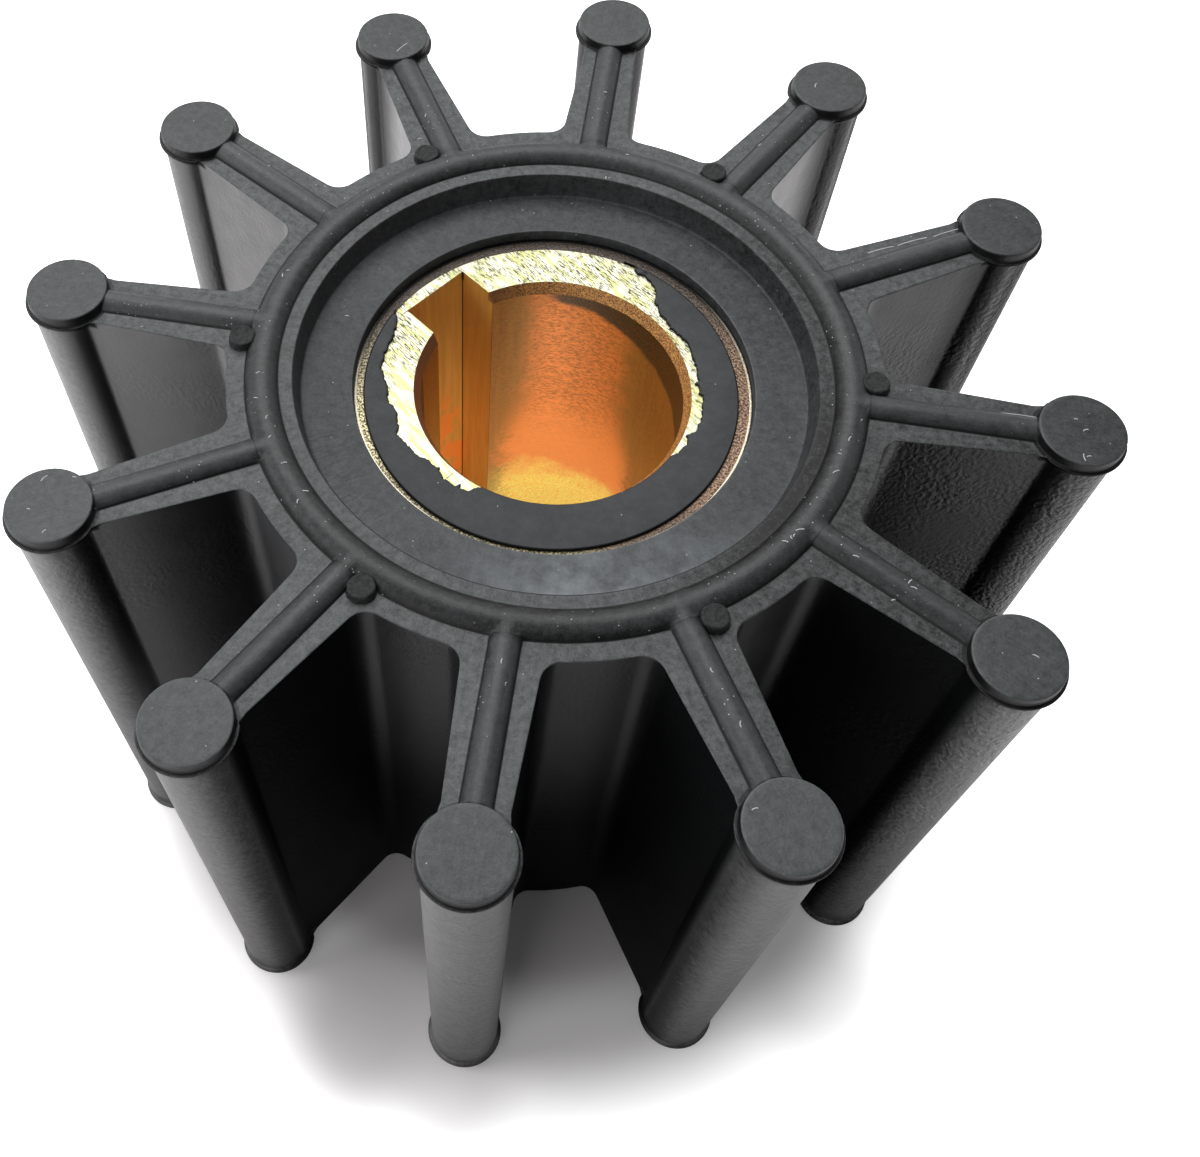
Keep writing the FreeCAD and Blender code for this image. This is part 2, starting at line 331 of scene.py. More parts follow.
def flank_frame():
    """A point of the flank, its direction outwards along the vane and its normal."""
    bulb_start = TIP_CIRCLE - math.sqrt(BULB_RADIUS**2 - HALF_TIP**2)
    start = Vector((VANE_INNER_END, HALF_ROOT))
    along = (Vector((bulb_start, HALF_TIP)) - start).normalized()
    return start, along, Vector((-along.y, along.x))


def fillet_centre(around, reach, radius, nearer):
    """Centre of a circle that lies radius off the flank and reach away from a point."""
    start, along, normal = flank_frame()
    foot = start + normal * radius - around
    half = foot.dot(along)
    root = math.sqrt(half * half - foot.length_squared + reach * reach)
    return around + foot + along * (-half + (-root if nearer else root))


def arc_points(centre, radius, first, last, spacing, outward=1):
    """Points of an arc and the direction away from the material at each."""
    steps = max(2, round(abs(last - first) * radius / spacing))
    for angle in np.linspace(first, last, steps + 1):
        away = Vector((math.cos(angle), math.sin(angle)))
        yield centre + away * radius, away * outward


def heading(vector):
    """Angle of a vector, counted from +X."""
    return math.atan2(vector.y, vector.x)


def half_outline():
    """Points and outward directions, from the sector's edge on the hub to the bulb's tip."""
    start, along, normal = flank_frame()
    axis, bulb = Vector((0, 0)), Vector((TIP_CIRCLE, 0))
    root = fillet_centre(axis, HUB_RADIUS + ROOT_FILLET, ROOT_FILLET, nearer=False)
    tip = fillet_centre(bulb, BULB_RADIUS + TIP_FILLET, TIP_FILLET, nearer=True)
    flank_start, flank_end = root - normal * ROOT_FILLET, tip - normal * TIP_FILLET
    points = list(arc_points(axis, HUB_RADIUS, HALF_SECTOR, heading(root), HUB_STEP))
    points += list(
        arc_points(root, ROOT_FILLET, heading(-root), heading(-normal), ROOT_STEP, -1)
    )[1:]
    steps = round((flank_end - flank_start).length / FLANK_STEP)
    points += [(flank_start.lerp(flank_end, i / steps), normal) for i in range(1, steps)]
    points += list(
        arc_points(tip, TIP_FILLET, heading(-normal), heading(bulb - tip), TIP_STEP, -1)
    )
    points += list(arc_points(bulb, BULB_RADIUS, heading(tip - bulb), 0.0, BULB_STEP))[1:]
    return points


def lip_reach(point):
    """How far the moulding lip under a disc stands out from the wall at a point."""
    return max(0.0, LIP_RADIUS - SKIN_ROOM - (point - Vector((TIP_CIRCLE, 0))).length)


OUTLINE = half_outline()
print(len(OUTLINE), "points on half a sector's outline")

# %% [markdown]
# ## The relief of an end face
# On the flat web stand a ring bead, a radial bead on each vane and a disc on each bulb. Rubber
# has no sharp inner corners, so where two forms meet they run into each other. One formula gives
# the height of the face at any place: the largest of the forms, with a small smooth blend.

# %% Height of the end face
BLEND = 0.08
FAR_BELOW = -3.0
DISC_ROUNDED_SHARE = 0.97
DISC_SIDE_SLOPE = 11


def bead_height(distance, width, height):
    """Height of a bead whose section is part of a circle, at a distance from its middle."""
    radius = (width * width / 4 + height * height) / (2 * height)
    inside = np.clip(radius**2 - distance**2, 0, None)
    return np.where(distance < radius, height - radius + np.sqrt(inside), FAR_BELOW)


def disc_height(distance):
    """Height of a bulb's end disc: flat, a rounded edge, then a side with a little draught."""
    flat = DISC_RADIUS - DISC_ROUND
    rounding = DISC_ROUND * DISC_ROUNDED_SHARE
    drop = np.clip(distance - flat, 0, rounding)
    rounded = DISC_HEIGHT - SKIN_ROOM - DISC_ROUND + np.sqrt(DISC_ROUND**2 - drop**2)
    return rounded - np.clip(distance - flat - rounding, 0, None) * DISC_SIDE_SLOPE


def smooth_largest(first, second):
    """The larger of two heights, with a small fillet where they are nearly the same."""
    overlap = np.clip(BLEND - np.abs(first - second), 0, None)
    return np.maximum(first, second) + overlap**2 / (4 * BLEND)


def face_height(x, y):
    """Height above the web, for arrays of places in millimetres."""
    ring = bead_height(np.abs(np.hypot(x, y) - RING_BEAD_RADIUS), *RING_BEAD)
    on_vane = (x > RING_BEAD_RADIUS) & (x < TIP_CIRCLE)
    radial = np.where(on_vane, bead_height(np.abs(y), *RADIAL_BEAD), FAR_BELOW)
    disc = disc_height(np.hypot(x - TIP_CIRCLE, y))
    height = smooth_largest(smooth_largest(ring, radial), disc)
    return smooth_largest(height, np.zeros_like(height))


print("ring bead top:", face_height(np.array([RING_BEAD_RADIUS]), np.array([3.0])).round(3), "mm")

# %% [markdown]
# ## A mesh that follows the relief
# An even grid would need far too many faces to draw such small forms. So points are laid along
# the forms: circles beside the ring bead, lines beside the radial bead and circles round the
# disc, closest together where the face is steepest. Points that fall too near to another are
# left out, and a Delaunay triangulation joins the rest.

# %% Points of half an end face
RING_OFFSETS = (0, 0.4, 0.75, 1.02, 1.2, 1.33, 1.4, 1.44, 1.5, 1.7)
RADIAL_OFFSETS = (0, 0.35, 0.66, 0.9, 1.06, 1.17, 1.23, 1.27, 1.33, 1.5)
DISC_RADII = (1.2, 2.4, 3.2, 3.44, 3.5, 3.545, 3.575, 3.595, 3.625, 3.655, 3.68, 3.71, 3.78)
DISC_STEPS = 36
SECTOR_COLUMNS = 9
RING_COLUMNS = 15
BEAD_STEP, GRID_STEP = 0.6, 0.7
FACE_INNER = RECESS_RIM + 0.45
CLOSE = 1e-4


def candidate_points(coarse):
    """Places in order of importance, each with the least distance to keep from the others."""
    for point, away in OUTLINE:
        yield point + away * (lip_reach(point) - EDGE), 0.02
    for angle in np.linspace(0, HALF_SECTOR, SECTOR_COLUMNS):
        yield Vector((math.cos(angle), math.sin(angle))) * FACE_INNER, 0.1
    for radius in DISC_RADII[::-1]:
        steps = round(DISC_STEPS / coarse * (1 if radius > 3 else radius / 5))
        for angle in np.linspace(0, math.pi, steps + 1):
            spot = Vector((math.cos(angle), abs(math.sin(angle)))) * radius
            yield Vector((TIP_CIRCLE, 0)) + spot, 0.012
    for offset in RING_OFFSETS[::-1]:
        for radius in {RING_BEAD_RADIUS - offset, RING_BEAD_RADIUS + offset}:
            for angle in np.linspace(0, HALF_SECTOR, round(RING_COLUMNS / coarse) + 1):
                yield Vector((math.cos(angle), math.sin(angle))) * radius, 0.03
    for offset in RADIAL_OFFSETS[::-1]:
        for x in np.arange(RING_BEAD_RADIUS + 1, TIP_CIRCLE - DISC_RADIUS, BEAD_STEP * coarse):
            yield Vector((x, offset)), 0.03
    for inset in (0.12, 0.45):
        for point, away in OUTLINE:
            if lip_reach(point) == 0:
                yield point - away * (EDGE + inset), 0.1
    for x in np.arange(FACE_INNER + 0.3, TIP_CIRCLE, GRID_STEP * coarse):
        for y in np.arange(0, HUB_RADIUS * math.sin(HALF_SECTOR), GRID_STEP * coarse):
            yield Vector((x, y)), 0.4


def face_limit(point):
    """True where a place lies inside half a sector's end face."""
    along = math.atan2(point.y, point.x)
    if point.y < -CLOSE or along > HALF_SECTOR + CLOSE or point.length < FACE_INNER - CLOSE:
        return False
    nearest, away = min(OUTLINE, key=lambda pair: (pair[0] - point).length_squared)
    return (point - nearest).dot(away) < lip_reach(nearest) - EDGE + CLOSE


def thin_out(candidates):
    """Keep each candidate that isn't too near to one that is kept already."""
    kept, grid, cell = [], {}, 0.5
    for point, gap in candidates:
        home = (math.floor(point.x / cell), math.floor(point.y / cell))
        near = [
            other
            for i in (-1, 0, 1)
            for j in (-1, 0, 1)
            for other in grid.get((home[0] + i, home[1] + j), ())
        ]
        if all((other - point).length > gap for other in near) and face_limit(point):
            kept.append(point)
            grid.setdefault(home, []).append(point)
    return kept


def half_face(coarse):
    """Vertices and triangles of half a sector's end face, with heights above the web."""
    points = thin_out(candidate_points(coarse))
    on_axis = sorted((p for p in points if abs(p.y) < CLOSE), key=lambda p: p.x)
    across = math.tan(HALF_SECTOR)
    on_edge = [p for p in points if abs(p.y - p.x * across) < CLOSE]
    on_edge.sort(key=lambda p: -p.length)
    inner = [p for p in points if abs(p.length - FACE_INNER) < CLOSE]
    inner.sort(key=lambda p: -p.y)
    rim = [p + away * (lip_reach(p) - EDGE) for p, away in OUTLINE]
    loop = on_axis + rim[::-1][1:] + on_edge[1:] + inner[1:-1]
    index = {(round(p.x, 4), round(p.y, 4)): i for i, p in enumerate(points)}
    numbers = [index[(round(p.x, 4), round(p.y, 4))] for p in loop]
    edges = list(zip(numbers, numbers[1:] + numbers[:1]))
    flat, _, faces, *_ = delaunay_2d_cdt(points, edges, [], 1, 1e-7)
    places = np.array([tuple(p) for p in flat])
    heights = face_height(places[:, 0], places[:, 1])
    return np.column_stack((places, heights)), [tuple(f) for f in faces]


upper_half, upper_faces = half_face(1.0)
lower_half, lower_faces = half_face(1.5)
print("half an end face:", len(upper_faces), "triangles above,", len(lower_faces), "below")

# %% [markdown]
# ## Walls, recess and the whole sector
# The wall runs down from the face's rim: first a small rounded edge, under a disc the thin lip
# that the split of the tool leaves, then straight down. The recess round the bush is turned, so
# it needs only a section. Both are grids of rows, and the rows are closest where they bend.

# %% Rows of the wall and of the recess
# A row of the wall: how deep under the web it lies, its share of the lip, and how far it stands out.
WALL_TOP = [(0.0, 1, -EDGE), (0.02, 1, -0.3 * EDGE), (EDGE, 1, 0), (0.2, 1, 0), (0.27, 0.75, 0)]
WALL_TOP += [(0.36, 0.3, 0), (LIP_THICKNESS, 0, 0), (0.9, 0, 0), (2.5, 0, 0)]
WALL_ROWS_BETWEEN = 6
RECESS_SECTION = [
    (FACE_INNER, 0), (RECESS_RIM + 0.1, 0), (RECESS_RIM + 0.03, 0.02), (RECESS_RIM, 0.08),
    (RECESS_RIM - 0.02, 0.2), (RECESS_FLOOR_RADIUS + 0.02, RECESS_DEPTH - 0.25),
    (RECESS_FLOOR_RADIUS - 0.03, RECESS_DEPTH - 0.1), (RECESS_FLOOR_RADIUS - 0.13, RECESS_DEPTH - 0.02),
    (RECESS_FLOOR_RADIUS - 0.3, RECESS_DEPTH), (21.2, RECESS_DEPTH), (19.9, RECESS_DEPTH),
    (18.6, RECESS_DEPTH), (STEP_RADIUS + 0.14, RECESS_DEPTH), (STEP_RADIUS + 0.05, RECESS_DEPTH + 0.02),
    (STEP_RADIUS, RECESS_DEPTH + 0.08), (STEP_RADIUS, FACE_DEPTH - 0.02), (STEP_RADIUS, FACE_DEPTH),
    (INSERT_RADIUS, FACE_DEPTH),
]


def wall_rows():
    """Each row as its height and, for a point of the outline, how far it stands out."""
    upper = [(WEB - depth, lip, out) for depth, lip, out in WALL_TOP]
    lower = [(HEIGHT - z, lip, out) for z, lip, out in upper[::-1]]
    between = np.linspace(upper[-1][0], lower[0][0], WALL_ROWS_BETWEEN + 2)[1:-1]
    return upper + [(z, 0, 0) for z in between] + lower


def grid_faces(rows, columns, flip=False):
    """Quads of a grid of vertices that is numbered row by row."""
    for i in range(rows - 1):
        for j in range(columns - 1):
            a = i * columns + j
            quad = (a, a + columns, a + columns + 1, a + 1)
            yield quad[::-1] if flip else quad


def half_sector_parts():
    """Each part of half a sector as its vertices and faces, in millimetres."""
    up = upper_half + (0, 0, WEB)
    low = lower_half * (1, 1, -1) + (0, 0, HEIGHT - WEB)
    yield up, upper_faces
    yield low, [f[::-1] for f in lower_faces]
    rows = wall_rows()
    wall = [
        (*(point + away * (lip_reach(point) * lip + out)), z)
        for z, lip, out in rows
        for point, away in OUTLINE
    ]
    yield np.array(wall), list(grid_faces(len(rows), len(OUTLINE), flip=True))
    section = [(r, WEB - depth) for r, depth in RECESS_SECTION]
    section += [(r, HEIGHT - z) for r, z in section[::-1]]
    angles = np.linspace(0, HALF_SECTOR, SECTOR_COLUMNS)
    turned = [(r * math.cos(a), r * math.sin(a), z) for r, z in section for a in angles]
    yield np.array(turned), list(grid_faces(len(section), len(angles), flip=True))


def sector_mesh():
    """One vane with its share of the hub, made of both halves and welded."""
    vertices, faces = [], []
    for points, polygons in half_sector_parts():
        for side in (1, -1):
            base = len(vertices)
            vertices += [tuple(p) for p in points * (MM, MM * side, MM)]
            for polygon in polygons:
                order = polygon if side > 0 else polygon[::-1]
                faces.append([base + i for i in order])
    mesh = bpy.data.meshes.new("sector")
    mesh.from_pydata(vertices, [], faces)
    work = bmesh.new()
    work.from_mesh(mesh)
    bmesh.ops.remove_doubles(work, verts=work.verts, dist=0.003 * MM)
    work.to_mesh(mesh)
    work.free()
    return mesh


sector = sector_mesh()
print("one sector:", len(sector.vertices), "vertices,", len(sector.polygons), "faces")

# %% [markdown]
# ## Twelve sectors round the axis
# What repeats is left to Geometry Nodes: the tree turns one sector to each of its places, welds
# the seams and then moves the skin by a few hundredths of a millimetre, because no moulding is
# perfectly even. Its sizes are inputs of the tree, so that a reader can try others.

# %% Geometry Nodes: repeat a shape round the axis
def new_tree(name, **kinds):
    """A tree with an input of each kind and one result, and the names that a modifier uses."""
    tree = bpy.data.node_groups.new(name, "GeometryNodeTree")
    names = {}
    for title, kind in kinds.items():
        title, kind = title.replace("_", " "), f"NodeSocket{kind}"
        socket = tree.interface.new_socket(name=title, in_out="INPUT", socket_type=kind)
        names[title] = socket.identifier
    tree.interface.new_socket(name="Result", in_out="OUTPUT", socket_type="NodeSocketGeometry")
    return tree, names


def repeat_tree():
    """Tree that repeats a mesh round the Z axis and makes its skin a little uneven."""
    tree, names = new_tree(
        "repeat_round_axis", Shape="Geometry", Copies="Int", Seam="Float", Unevenness="Float",
        Wave_length="Float", Seed="Int", Finish="Material",
    )
    graph = Graph(tree)
    given = graph.node("NodeGroupInput")
    index = graph.node("GeometryNodeInputIndex")["Index"]
    spots = graph.node("GeometryNodePoints", None, {"Count": given["Copies"]})[0]
    turn = index * (2 * math.pi) / given["Copies"]
    turned = graph.node("ShaderNodeCombineXYZ", None, {"Z": turn})["Vector"]
    placed = graph.node(
        "GeometryNodeInstanceOnPoints", None,
        {"Points": spots, "Instance": given["Shape"], "Rotation": turned},
    )["Instances"]
    joined = graph.node("GeometryNodeRealizeInstances", None, {0: placed})["Geometry"]
    welded = graph.node(
        "GeometryNodeMergeByDistance", None, {"Geometry": joined, "Distance": given["Seam"]}
    )["Geometry"]
    position = graph.node("GeometryNodeInputPosition")["Position"]
    waves = graph.node(
        "ShaderNodeTexNoise", {"noise_dimensions": "4D"},
        {"Vector": position, "W": given["Seed"], "Scale": 1 / given["Wave length"], "Detail": 3.0},
    )["Fac"]
    normal = graph.node("GeometryNodeInputNormal")["Normal"]
    push = graph.node(
        "ShaderNodeVectorMath", {"operation": "SCALE"},
        {0: normal, "Scale": (waves - 0.5) * given["Unevenness"]},
    )["Vector"]
    moved = graph.node(
        "GeometryNodeSetPosition", None, {"Geometry": welded, "Offset": push}
    )["Geometry"]
    smooth = graph.node("GeometryNodeSetShadeSmooth", None, {"Geometry": moved})["Geometry"]
    finished = graph.node(
        "GeometryNodeSetMaterial", None, {"Geometry": smooth, "Material": given["Finish"]}
    )["Geometry"]
    graph.node("NodeGroupOutput", None, {"Result": finished})
    return tree, names


def add_object(name, data):
    piece = bpy.data.objects.new(name, data)
    bpy.context.scene.collection.objects.link(piece)
    return piece


def run_tree(piece, tree, names, **values):
    """Run a tree on a piece, keep the result as its plain mesh and take the modifier off."""
    modifier = piece.modifiers.new("nodes", "NODES")
    modifier.node_group = tree
    for name, value in values.items():
        modifier[names[name.replace("_", " ")]] = value
    bpy.context.view_layer.update()
    evaluated = piece.evaluated_get(bpy.context.evaluated_depsgraph_get())
    mesh = bpy.data.meshes.new_from_object(evaluated)
    piece.modifiers.clear()
    piece.data = mesh
    mesh.name = piece.name
    return piece


repeat_round, repeat_names = repeat_tree()
print("inputs of the tree:", ", ".join(repeat_names))

# %% [markdown]
# ## The rubber finish
# Moulded black rubber isn't black. Its skin is a matt dark grey with a trace of green, and it
# shows how the tool was made: fine turning and rubbing marks on the flat faces, a leathery
# orange peel on the bulbs and flanks, and a smoother shine on the beads. The material finds out
# where on the wheel it is by arithmetic on the place: height above the web, radius, and how far
# along and aside of the nearest vane.

# %% Where on the wheel a point of the rubber lies
def find_place(skin):
    """Add the wheel's own measures to a finish: height above the web, radius, vane and bulb."""
    middle = (skin.z - HEIGHT / 2).math("ABSOLUTE")
    skin.level = middle - (HEIGHT / 2 - DISC_HEIGHT)
    skin.radius = (skin.x * skin.x + skin.y * skin.y) ** 0.5
    skin.turn = skin.y.math("ARCTAN2", skin.x)
    nearest = skin.turn.math("WRAP", HALF_SECTOR, -HALF_SECTOR)
    skin.along = skin.radius * nearest.math("COSINE")
    skin.aside = skin.radius * nearest.math("SINE")
    past_bulb = skin.along - TIP_CIRCLE
    skin.from_bulb = (past_bulb * past_bulb + skin.aside * skin.aside) ** 0.5
    bulb_x = (skin.turn - nearest).math("COSINE") * TIP_CIRCLE
    past_middle = skin.x.math("ABSOLUTE") - bulb_x.math("ABSOLUTE")
    skin.outwards = past_middle / (skin.from_bulb + 0.01)
    return skin


print("measures of a place: level, radius, turn, along, aside, from_bulb and outwards")

# %% Greys of the rubber
# Painted shade: this black stands for shadow on the discs' sides, under the lips and at the film's
# edge.
SHADE_BLACK = paint("060607")
# Painted shade: the black of the thin crease lines at the feet of the forms.
CREASE_SHADE_BLACK = paint("0a0a0b")
# Painted light and shade: flank, hub and bulb are one rubber. The flank grey is near black as shade,
# and the hub and bulb greys are paler as painted light.
FLANK_SHADE_GREY = paint("0e0f10")
HUB_LIT_GREY = paint("1e1f20")
BULB_LIT_GREY = paint("68696a")
RECESS_GREY = paint("3c3e40")
BEAD_GREY = paint("383a3b")
DISC_GREY = paint("404344")
WEB_GREY = paint("515455")
FLOOR_GREY = paint("3d4042")
DUST_WHITE = paint("c4c8c8")
print("grey of the flat web:", [round(c, 3) for c in WEB_GREY[:3]])

# %% Patterns on the rubber
def leather(skin, size):
    """Small round lumps of a leathery skin, with softer waves below them."""
    drift = skin.noise(size * 2.5, 2.0, 0.5)
    bent = skin.vector(skin.x + drift * size, skin.y - drift * size, skin.z * 0.8 + drift * size)
    lumps = skin.rise(skin.noise(size * 0.75, 1.0, 0.4, at=bent), 0.25, 0.75)
    return lumps * 0.6 + skin.noise(size * 1.8, 2.0, 0.5) * 0.7


def crease_shade(skin):
    """Thin dark lines of painted shade at the feet of the beads and discs, and round the recess rim on
    the near side.
    """
    beyond = skin.rise(skin.along, RING_BEAD_RADIUS + RING_BEAD[0] / 2 - 0.1, RING_BEAD_RADIUS + 1.5)
    before = skin.fall(skin.along, TIP_CIRCLE - DISC_RADIUS - 0.1, TIP_CIRCLE - DISC_RADIUS + 0.3)
    ring = (skin.radius - RING_BEAD_RADIUS).math("ABSOLUTE") - RING_BEAD[0] / 2
    radial = skin.aside.math("ABSOLUTE") - RADIAL_BEAD[0] / 2
    round_ring = skin.fall(ring.math("ABSOLUTE"), 0.04, 0.13) * (
        1 - beyond * skin.fall(radial, -0.1, 0.0)
    )
    beside = skin.fall(radial.math("ABSOLUTE"), 0.04, 0.13) * beyond * before
    foot = (skin.from_bulb - DISC_RADIUS - 0.08).math("ABSOLUTE")
    round_disc = skin.fall(foot, 0.04, 0.13) * skin.fall(skin.level, 0.05, 0.3)
    rim = (skin.radius - RECESS_RIM - 0.05).math("ABSOLUTE")
    round_rim = skin.fall(rim, 0.03, 0.1) * skin.fall(skin.y, -8, 8)
    lines = round_ring.math("MAXIMUM", beside).math("MAXIMUM", round_disc)
    return lines.math("MAXIMUM", round_rim) * skin.on_face


def dust(skin, size, share):
    """Tiny white specks, in a share of the cells of a grid."""
    where = skin.scaled(skin.place, 1 / size)
    cell = skin.node("ShaderNodeTexVoronoi", None, {"Vector": where, "Scale": 1.0})
    chosen = skin.node("ShaderNodeSeparateColor", None, {0: cell["Color"]})
    near = skin.fall(cell["Distance"], 0.03 / size, 0.07 / size)
    return near * skin.rise(chosen["Red"], 1 - share, 1.001 - share)


def marks_with_sheen(skin):
    """Fine radial marks in the recess at the near left, painted pale as a sheen where the light catches
    them.
    """
    marks = skin.noise(1.0, 2.0, 0.5, at=skin.vector(skin.turn * 95, skin.radius * 0.8, 0.0))
    there = skin.band(skin.turn, -2.75, -2.1, 0.3) * skin.band(skin.radius, 19.6, 22.2, 0.8)
    return (skin.rise(marks, 0.35, 0.65) - 0.35) * there * 0.5


print("patterns on the rubber: leather, creases, dust and a worn patch")

# %% The forms of the moulding as masks
def find_forms(skin):
    """Masks from 0 to 1 for the forms of the moulding, and the noise that they share."""
    skin.on_face = skin.rise(skin.level, -0.1, -0.03)
    skin.in_recess = skin.fall(skin.radius, RECESS_RIM - 0.02, RECESS_RIM + 0.05)
    skin.at_recess_floor = skin.band(skin.level, -RECESS_DEPTH - 0.05, -RECESS_DEPTH + 0.06, 0.06)
    skin.raised = skin.rise(skin.level, 0.05, 0.16)
    skin.on_disc = skin.fall(skin.from_bulb, DISC_RADIUS + 0.08, DISC_RADIUS + 0.16)
    skin.on_bead = skin.raised * (1 - skin.on_disc)
    skin.on_ring = skin.fall(skin.radius, RING_BEAD_RADIUS + 1.5, RING_BEAD_RADIUS + 2.1)
    skin.upper = skin.rise(skin.z, HEIGHT / 2 - 1, HEIGHT / 2 + 1)
    skin.lip = skin.fall(skin.from_bulb, LIP_RADIUS + 0.1, LIP_RADIUS + 0.4)
    low_lip = skin.lip * (1 - skin.upper) * skin.rise(skin.level, -1.2, -0.8)
    on_bulb = skin.fall(skin.from_bulb, BULB_RADIUS + 0.1, BULB_RADIUS + 0.6)
    on_bulb = on_bulb * skin.rise(skin.along, TIP_CIRCLE - 1.4, TIP_CIRCLE + 0.6)
    skin.on_bulb = on_bulb.math("MAXIMUM", low_lip * 0.8)
    skin.near = skin.fall(skin.y, -38, 0)
    skin.right = skin.rise(skin.x, 14, 50)
    skin.blots = skin.noise(2.4, 3.0, 0.6)
    skin.grain = skin.noise(0.17, 2.0, 0.7)
    skin.mottle = skin.noise(0.7, 3.0, 0.75)
    along_vane = skin.vector(skin.along * 0.16, skin.aside * 1.6, skin.z)
    skin.streaks = skin.noise(0.5, 3.0, 0.6, at=along_vane)
    return skin


print("forms told apart: face, recess and its floor, disc, bead, ring, lip and bulb")

# %% [markdown]
# ## The matt end face
# Each form has its own grey, and noise varies it at random. Light and shade are painted into the
# grey as well: pale where the lamps' sheen falls and on the side towards the light, dark at the
# feet and edges and on the side away from it. One shade for each form says how much lighter or
# darker than its own grey the rubber is at a place, and the face's shade is their sum.

# %% How light each form of the face is
def recess_shade(skin):
    """The recess: a painted sheen makes its near floor pale, painted highlights mark its foot and the
    step's edge, its far left is painted lighter and its far right darker, and it is a little darker all
    over.
    """
    # Painted sheen on the near floor, painted light at the far left and painted shade at the far right.
    near_sheen = skin.fall(skin.y, -31, -9) * skin.rise(skin.blots, 0.2, 0.7)
    near_sheen = near_sheen * (skin.rise(skin.x, -7, 7) * 0.75 + 0.25)
    far_light_and_shade = skin.fall(skin.x, -14, -4) * 0.2 - skin.rise(skin.x, 2, 14) * 0.25
    far_light_and_shade = far_light_and_shade * skin.rise(skin.y, 2, 10)
    # Painted highlights: thin pale lines at the foot of the recess wall and at the step's edge.
    foot = skin.band(skin.radius, RECESS_FLOOR_RADIUS - 0.12, RECESS_FLOOR_RADIUS - 0.02, 0.06)
    step_highlight = skin.band(skin.radius, STEP_RADIUS + 0.01, STEP_RADIUS + 0.12, 0.06)
    lines = (foot * 0.8 + step_highlight * 0.9) * skin.at_recess_floor
    return (near_sheen * 6.5 + far_light_and_shade + lines - 0.1) * skin.in_recess + marks_with_sheen(skin)


def bead_shade(skin):
    """The beads, with painted light and shade: dark at the foot and on the near side, darkest on the
    near ring, paler on the far and the left radial beads and darker on the radial bead at -30°.
    """
    # Painted shade at the feet of the beads, and painted light and shade by side.
    foot = skin.fall(skin.level, 0.2, 0.75) * 0.45
    radial = skin.rise(skin.y, -8, 12) * 0.3 + skin.fall(skin.x, -34, -24) * 0.25 + 0.05
    radial = radial - skin.band(skin.turn, -0.75, -0.3, 0.1) * 0.25
    near = skin.on_ring * (0.85 - skin.rise(skin.x, 6, 14) * 0.35) + 0.1
    shade = radial * (1 - skin.on_ring) - skin.near * near - foot + 0.15
    return shade * skin.on_bead


def web_shade(skin):
    """The flat web: more mottled than the rest, with painted shade beside the near ring and at the
    right.
    """
    # Painted shade beside the near ring and at the right.
    beside_ring = skin.near * skin.fall(skin.radius, 28, 30) * 0.25
    near_right = skin.rise(skin.x, 2, 30) * skin.fall(skin.y, -12, 8) * 0.55
    darker = (beside_ring + near_right) * (1 - skin.in_recess)
    return ((skin.mottle - 0.5) * 0.5 - darker) * (1 - skin.raised)


def edge_shade(skin):
    """A painted highlight on each disc's edge, painted shadow on the lip outside it and painted shade
    on the ring's inner side at the right.
    """
    # Painted highlight, shadow and shade at the edges.
    disc_edge = skin.band(skin.from_bulb, DISC_RADIUS - 0.13, DISC_RADIUS - 0.03, 0.06)
    lip = skin.rise(skin.from_bulb, DISC_RADIUS + 0.1, DISC_RADIUS + 0.16) * (1 - skin.raised)
    lip = lip * skin.fall(skin.from_bulb, LIP_RADIUS, LIP_RADIUS + 0.1)
    inner = skin.fall(skin.radius, 24.4, 25.4) * skin.rise(skin.x, 8, 20) * (1 - skin.in_recess)
    return disc_edge * skin.on_face * skin.raised * 0.6 - lip * 0.65 - inner * 0.55


def face_shade(skin):
    """How light the end face is at a place, as a share of each form's own grey: noise, and painted
    light and shade that make the near side and the left paler and the right darker.
    """
    shade = (skin.blots - 0.5) * 0.8 + (skin.grain - 0.5) * 1.2 + (skin.mottle - 0.5) * 1.6
    # Painted shade at the right, painted sheen on the near side and painted light at the left.
    shade = shade + (skin.streaks - 0.5) * 0.7 + 0.96 - skin.right * 0.22
    shade = shade + skin.near * (skin.raised * 0.1 + 0.15)
    shade = shade + skin.fall(skin.x, -50, -20) * (1 - skin.in_recess) * 0.12
    shade = shade - skin.rise(skin.x, 30, 50) * skin.rise(skin.y, -20, 0) * 0.14
    return shade + recess_shade(skin) + bead_shade(skin) + web_shade(skin) + edge_shade(skin)


print("the face's shade: noise, the recess, the beads, the web and the edges")


